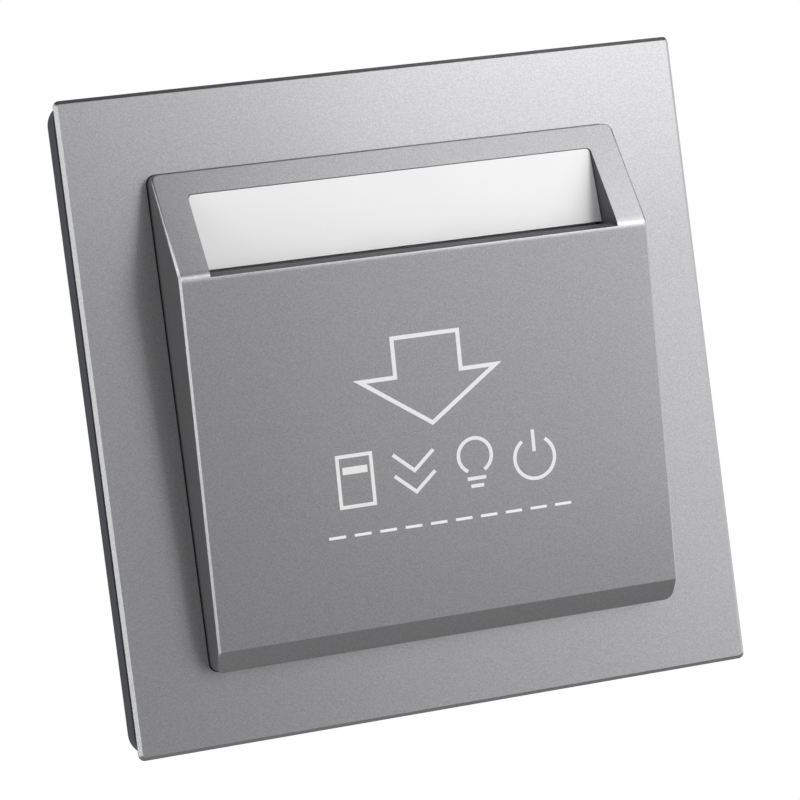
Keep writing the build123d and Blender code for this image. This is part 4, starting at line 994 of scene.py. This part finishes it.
front_ends = [end for node in rear_components for end in lead_ends(node, front_tips, board_front)]
rear_ends = [end for node in ("microswitch_pins", "indicator_lights")
             for end in lead_ends(node, rear_tips, board_rear)]
front_solder = crisp(grow("front_solder", solder_tree, front_ends, solder_metal))
rear_solder = crisp(grow("rear_solder", solder_tree, rear_ends, solder_metal, {"Turn": -math.pi / 2}))
for joints in (front_solder, rear_solder):
    claim(joints, "switch", "tinned_copper")
print(len(front_ends), "joints in front,", len(rear_ends), "behind")

# %% [markdown]
# ## Printed marks
# The arrow is a white outline with sharp corners. It is drawn as one flat face on the tilted front, inset
# by the width of the line, and the ring that remains is given the thickness of a film of ink. An image
# could print it, but a mesh stays sharp from near by. Below it stand four plain signs of about the same
# line width: a card, two chevrons, a bulb and the mark for power. Under them runs a row of short dashes.
# They are generic, and only as large as print on such a switch is.

# %% Front plane and ink helpers
ink_thickness = 0.03
arrow_line = 0.55
sign_line = 0.48
sharpest_join = 0.3


def on_front(x, level, lift=0.0):
    """A point on the housing's tilted front, in metres, from its X and level Z in mm."""
    height = ridge_height - (ridge_level - level) * math.tan(front_angle) + lift
    return Vector((x, -height, level)) * mm


def film_of_ink(name, outlines, line_width=None):
    """Closed outlines in mm become a thin raised print: rings of the line's width, or whole faces."""
    work = bmesh.new()
    for outline in outlines:
        corners = [work.verts.new(on_front(x, level)) for x, level in outline]
        face = work.faces.new(corners)
        face.normal_update()
        if face.normal.y > 0:
            face.normal_flip()
    if line_width:
        inner = list(work.faces)
        bmesh.ops.inset_region(work, faces=inner, thickness=line_width * mm, use_boundary=True,
                               use_even_offset=True)
        bmesh.ops.delete(work, geom=inner, context="FACES")
    film = bmesh.ops.extrude_face_region(work, geom=list(work.faces), use_keep_orig=True)
    lift = on_front(0, 0, ink_thickness) - on_front(0, 0)
    raised = [item for item in film["geom"] if isinstance(item, bmesh.types.BMVert)]
    bmesh.ops.translate(work, verts=raised, vec=lift)
    bmesh.ops.recalc_face_normals(work, faces=work.faces)
    mesh = bpy.data.meshes.new(name)
    work.to_mesh(mesh)
    work.free()
    return claim(put(mesh, name, [white_ink]), "switch", "panel_white")


def stroke(points, width, middle=(0, 0)):
    """The outline of a line of that width through points, as one closed list. All in mm, about a middle."""
    left, right = [], []
    for place, (x, z) in enumerate(points):
        before = Vector(points[max(place - 1, 0)])
        after = Vector(points[min(place + 1, len(points) - 1)])
        here = Vector((x, z))
        arms = [arm.normalized() for arm in (here - before, after - here) if arm.length > 0]
        along = sum(arms, Vector((0, 0))).normalized()
        aside = Vector((-along.y, along.x)) * width / 2 / max(along.dot(arms[0]), sharpest_join)
        left.append(tuple(here + aside + Vector(middle)))
        right.append(tuple(here - aside + Vector(middle)))
    return left + right[::-1]


def arc(radius, first, last, steps=24, middle=(0, 0)):
    """Points of an arc from one angle to another, in degrees."""
    angles = [math.radians(first + (last - first) * step / steps) for step in range(steps + 1)]
    return [(middle[0] + radius * math.cos(a), middle[1] + radius * math.sin(a)) for a in angles]


print("the front leans back by", round(math.degrees(front_angle), 2), "degrees")

# %% Arrow
arrow_middle = -0.35
shaft_half = 4.8
head_half = 10.3
arrow_top = 7.5
arrow_shoulder = 2.4
arrow_tip = -4.7
arrow = film_of_ink("printed_arrow", [[
    (arrow_middle - shaft_half, arrow_top),
    (arrow_middle + shaft_half, arrow_top),
    (arrow_middle + shaft_half, arrow_shoulder),
    (arrow_middle + head_half, arrow_shoulder),
    (arrow_middle, arrow_tip),
    (arrow_middle - head_half, arrow_shoulder),
    (arrow_middle - shaft_half, arrow_shoulder),
]], arrow_line)
print("arrow", len(arrow.data.polygons), "faces")

# %% Signs and dashes
sign_level = -10.45
card_at, chevrons_at, bulb_at, power_at = ((x, sign_level) for x in (-11.55, -3.45, 5.0, 13.3))
card_half, card_top = 2.3, 3.3
card_edge = [(0, card_top), (card_half, card_top), (card_half, -card_top), (-card_half, -card_top),
             (-card_half, card_top), (0, card_top)]
sign_outlines = [
    stroke(card_edge, sign_line, card_at),
    stroke([(-1.7, 1.4), (1.7, 1.4)], 2 * sign_line, card_at),
    stroke([(-2.8, 2.6), (0, 0.2), (2.8, 2.6)], sign_line, chevrons_at),
    stroke([(-2.8, -0.2), (0, -2.6), (2.8, -0.2)], sign_line, chevrons_at),
    stroke(arc(2.3, 240, -60, middle=(0, 1.0)), sign_line, bulb_at),
    stroke([(-1.3, -2.0), (1.3, -2.0)], sign_line, bulb_at),
    stroke([(-0.9, -3.0), (0.9, -3.0)], sign_line, bulb_at),
    stroke(arc(2.8, 125, 415, steps=36, middle=(0, -0.4)), sign_line, power_at),
    stroke([(0, 3.3), (0, 0.4)], sign_line, power_at),
]
ink_signs = film_of_ink("printed_signs", sign_outlines)
dash_count = 10
dash_pitch = 3.5
dash_length = 2.3
dash_line = 0.42
dash_level = -17.5
dash_middle = 0.95
first_dash = dash_middle - (dash_count - 1) * dash_pitch / 2
dash_places = [on_front(first_dash + number * dash_pitch, dash_level, ink_thickness / 2)
               for number in range(dash_count)]
dashes = grow("printed_dashes", block_tree, dash_places, white_ink, {
    "Width": dash_length * mm, "Depth": ink_thickness * mm, "Height": dash_line * mm, "Tilt": -front_angle})
claim(dashes, "switch", "panel_white")
print(len(ink_signs.data.polygons), "sign faces,", len(dashes.data.polygons), "dash faces")
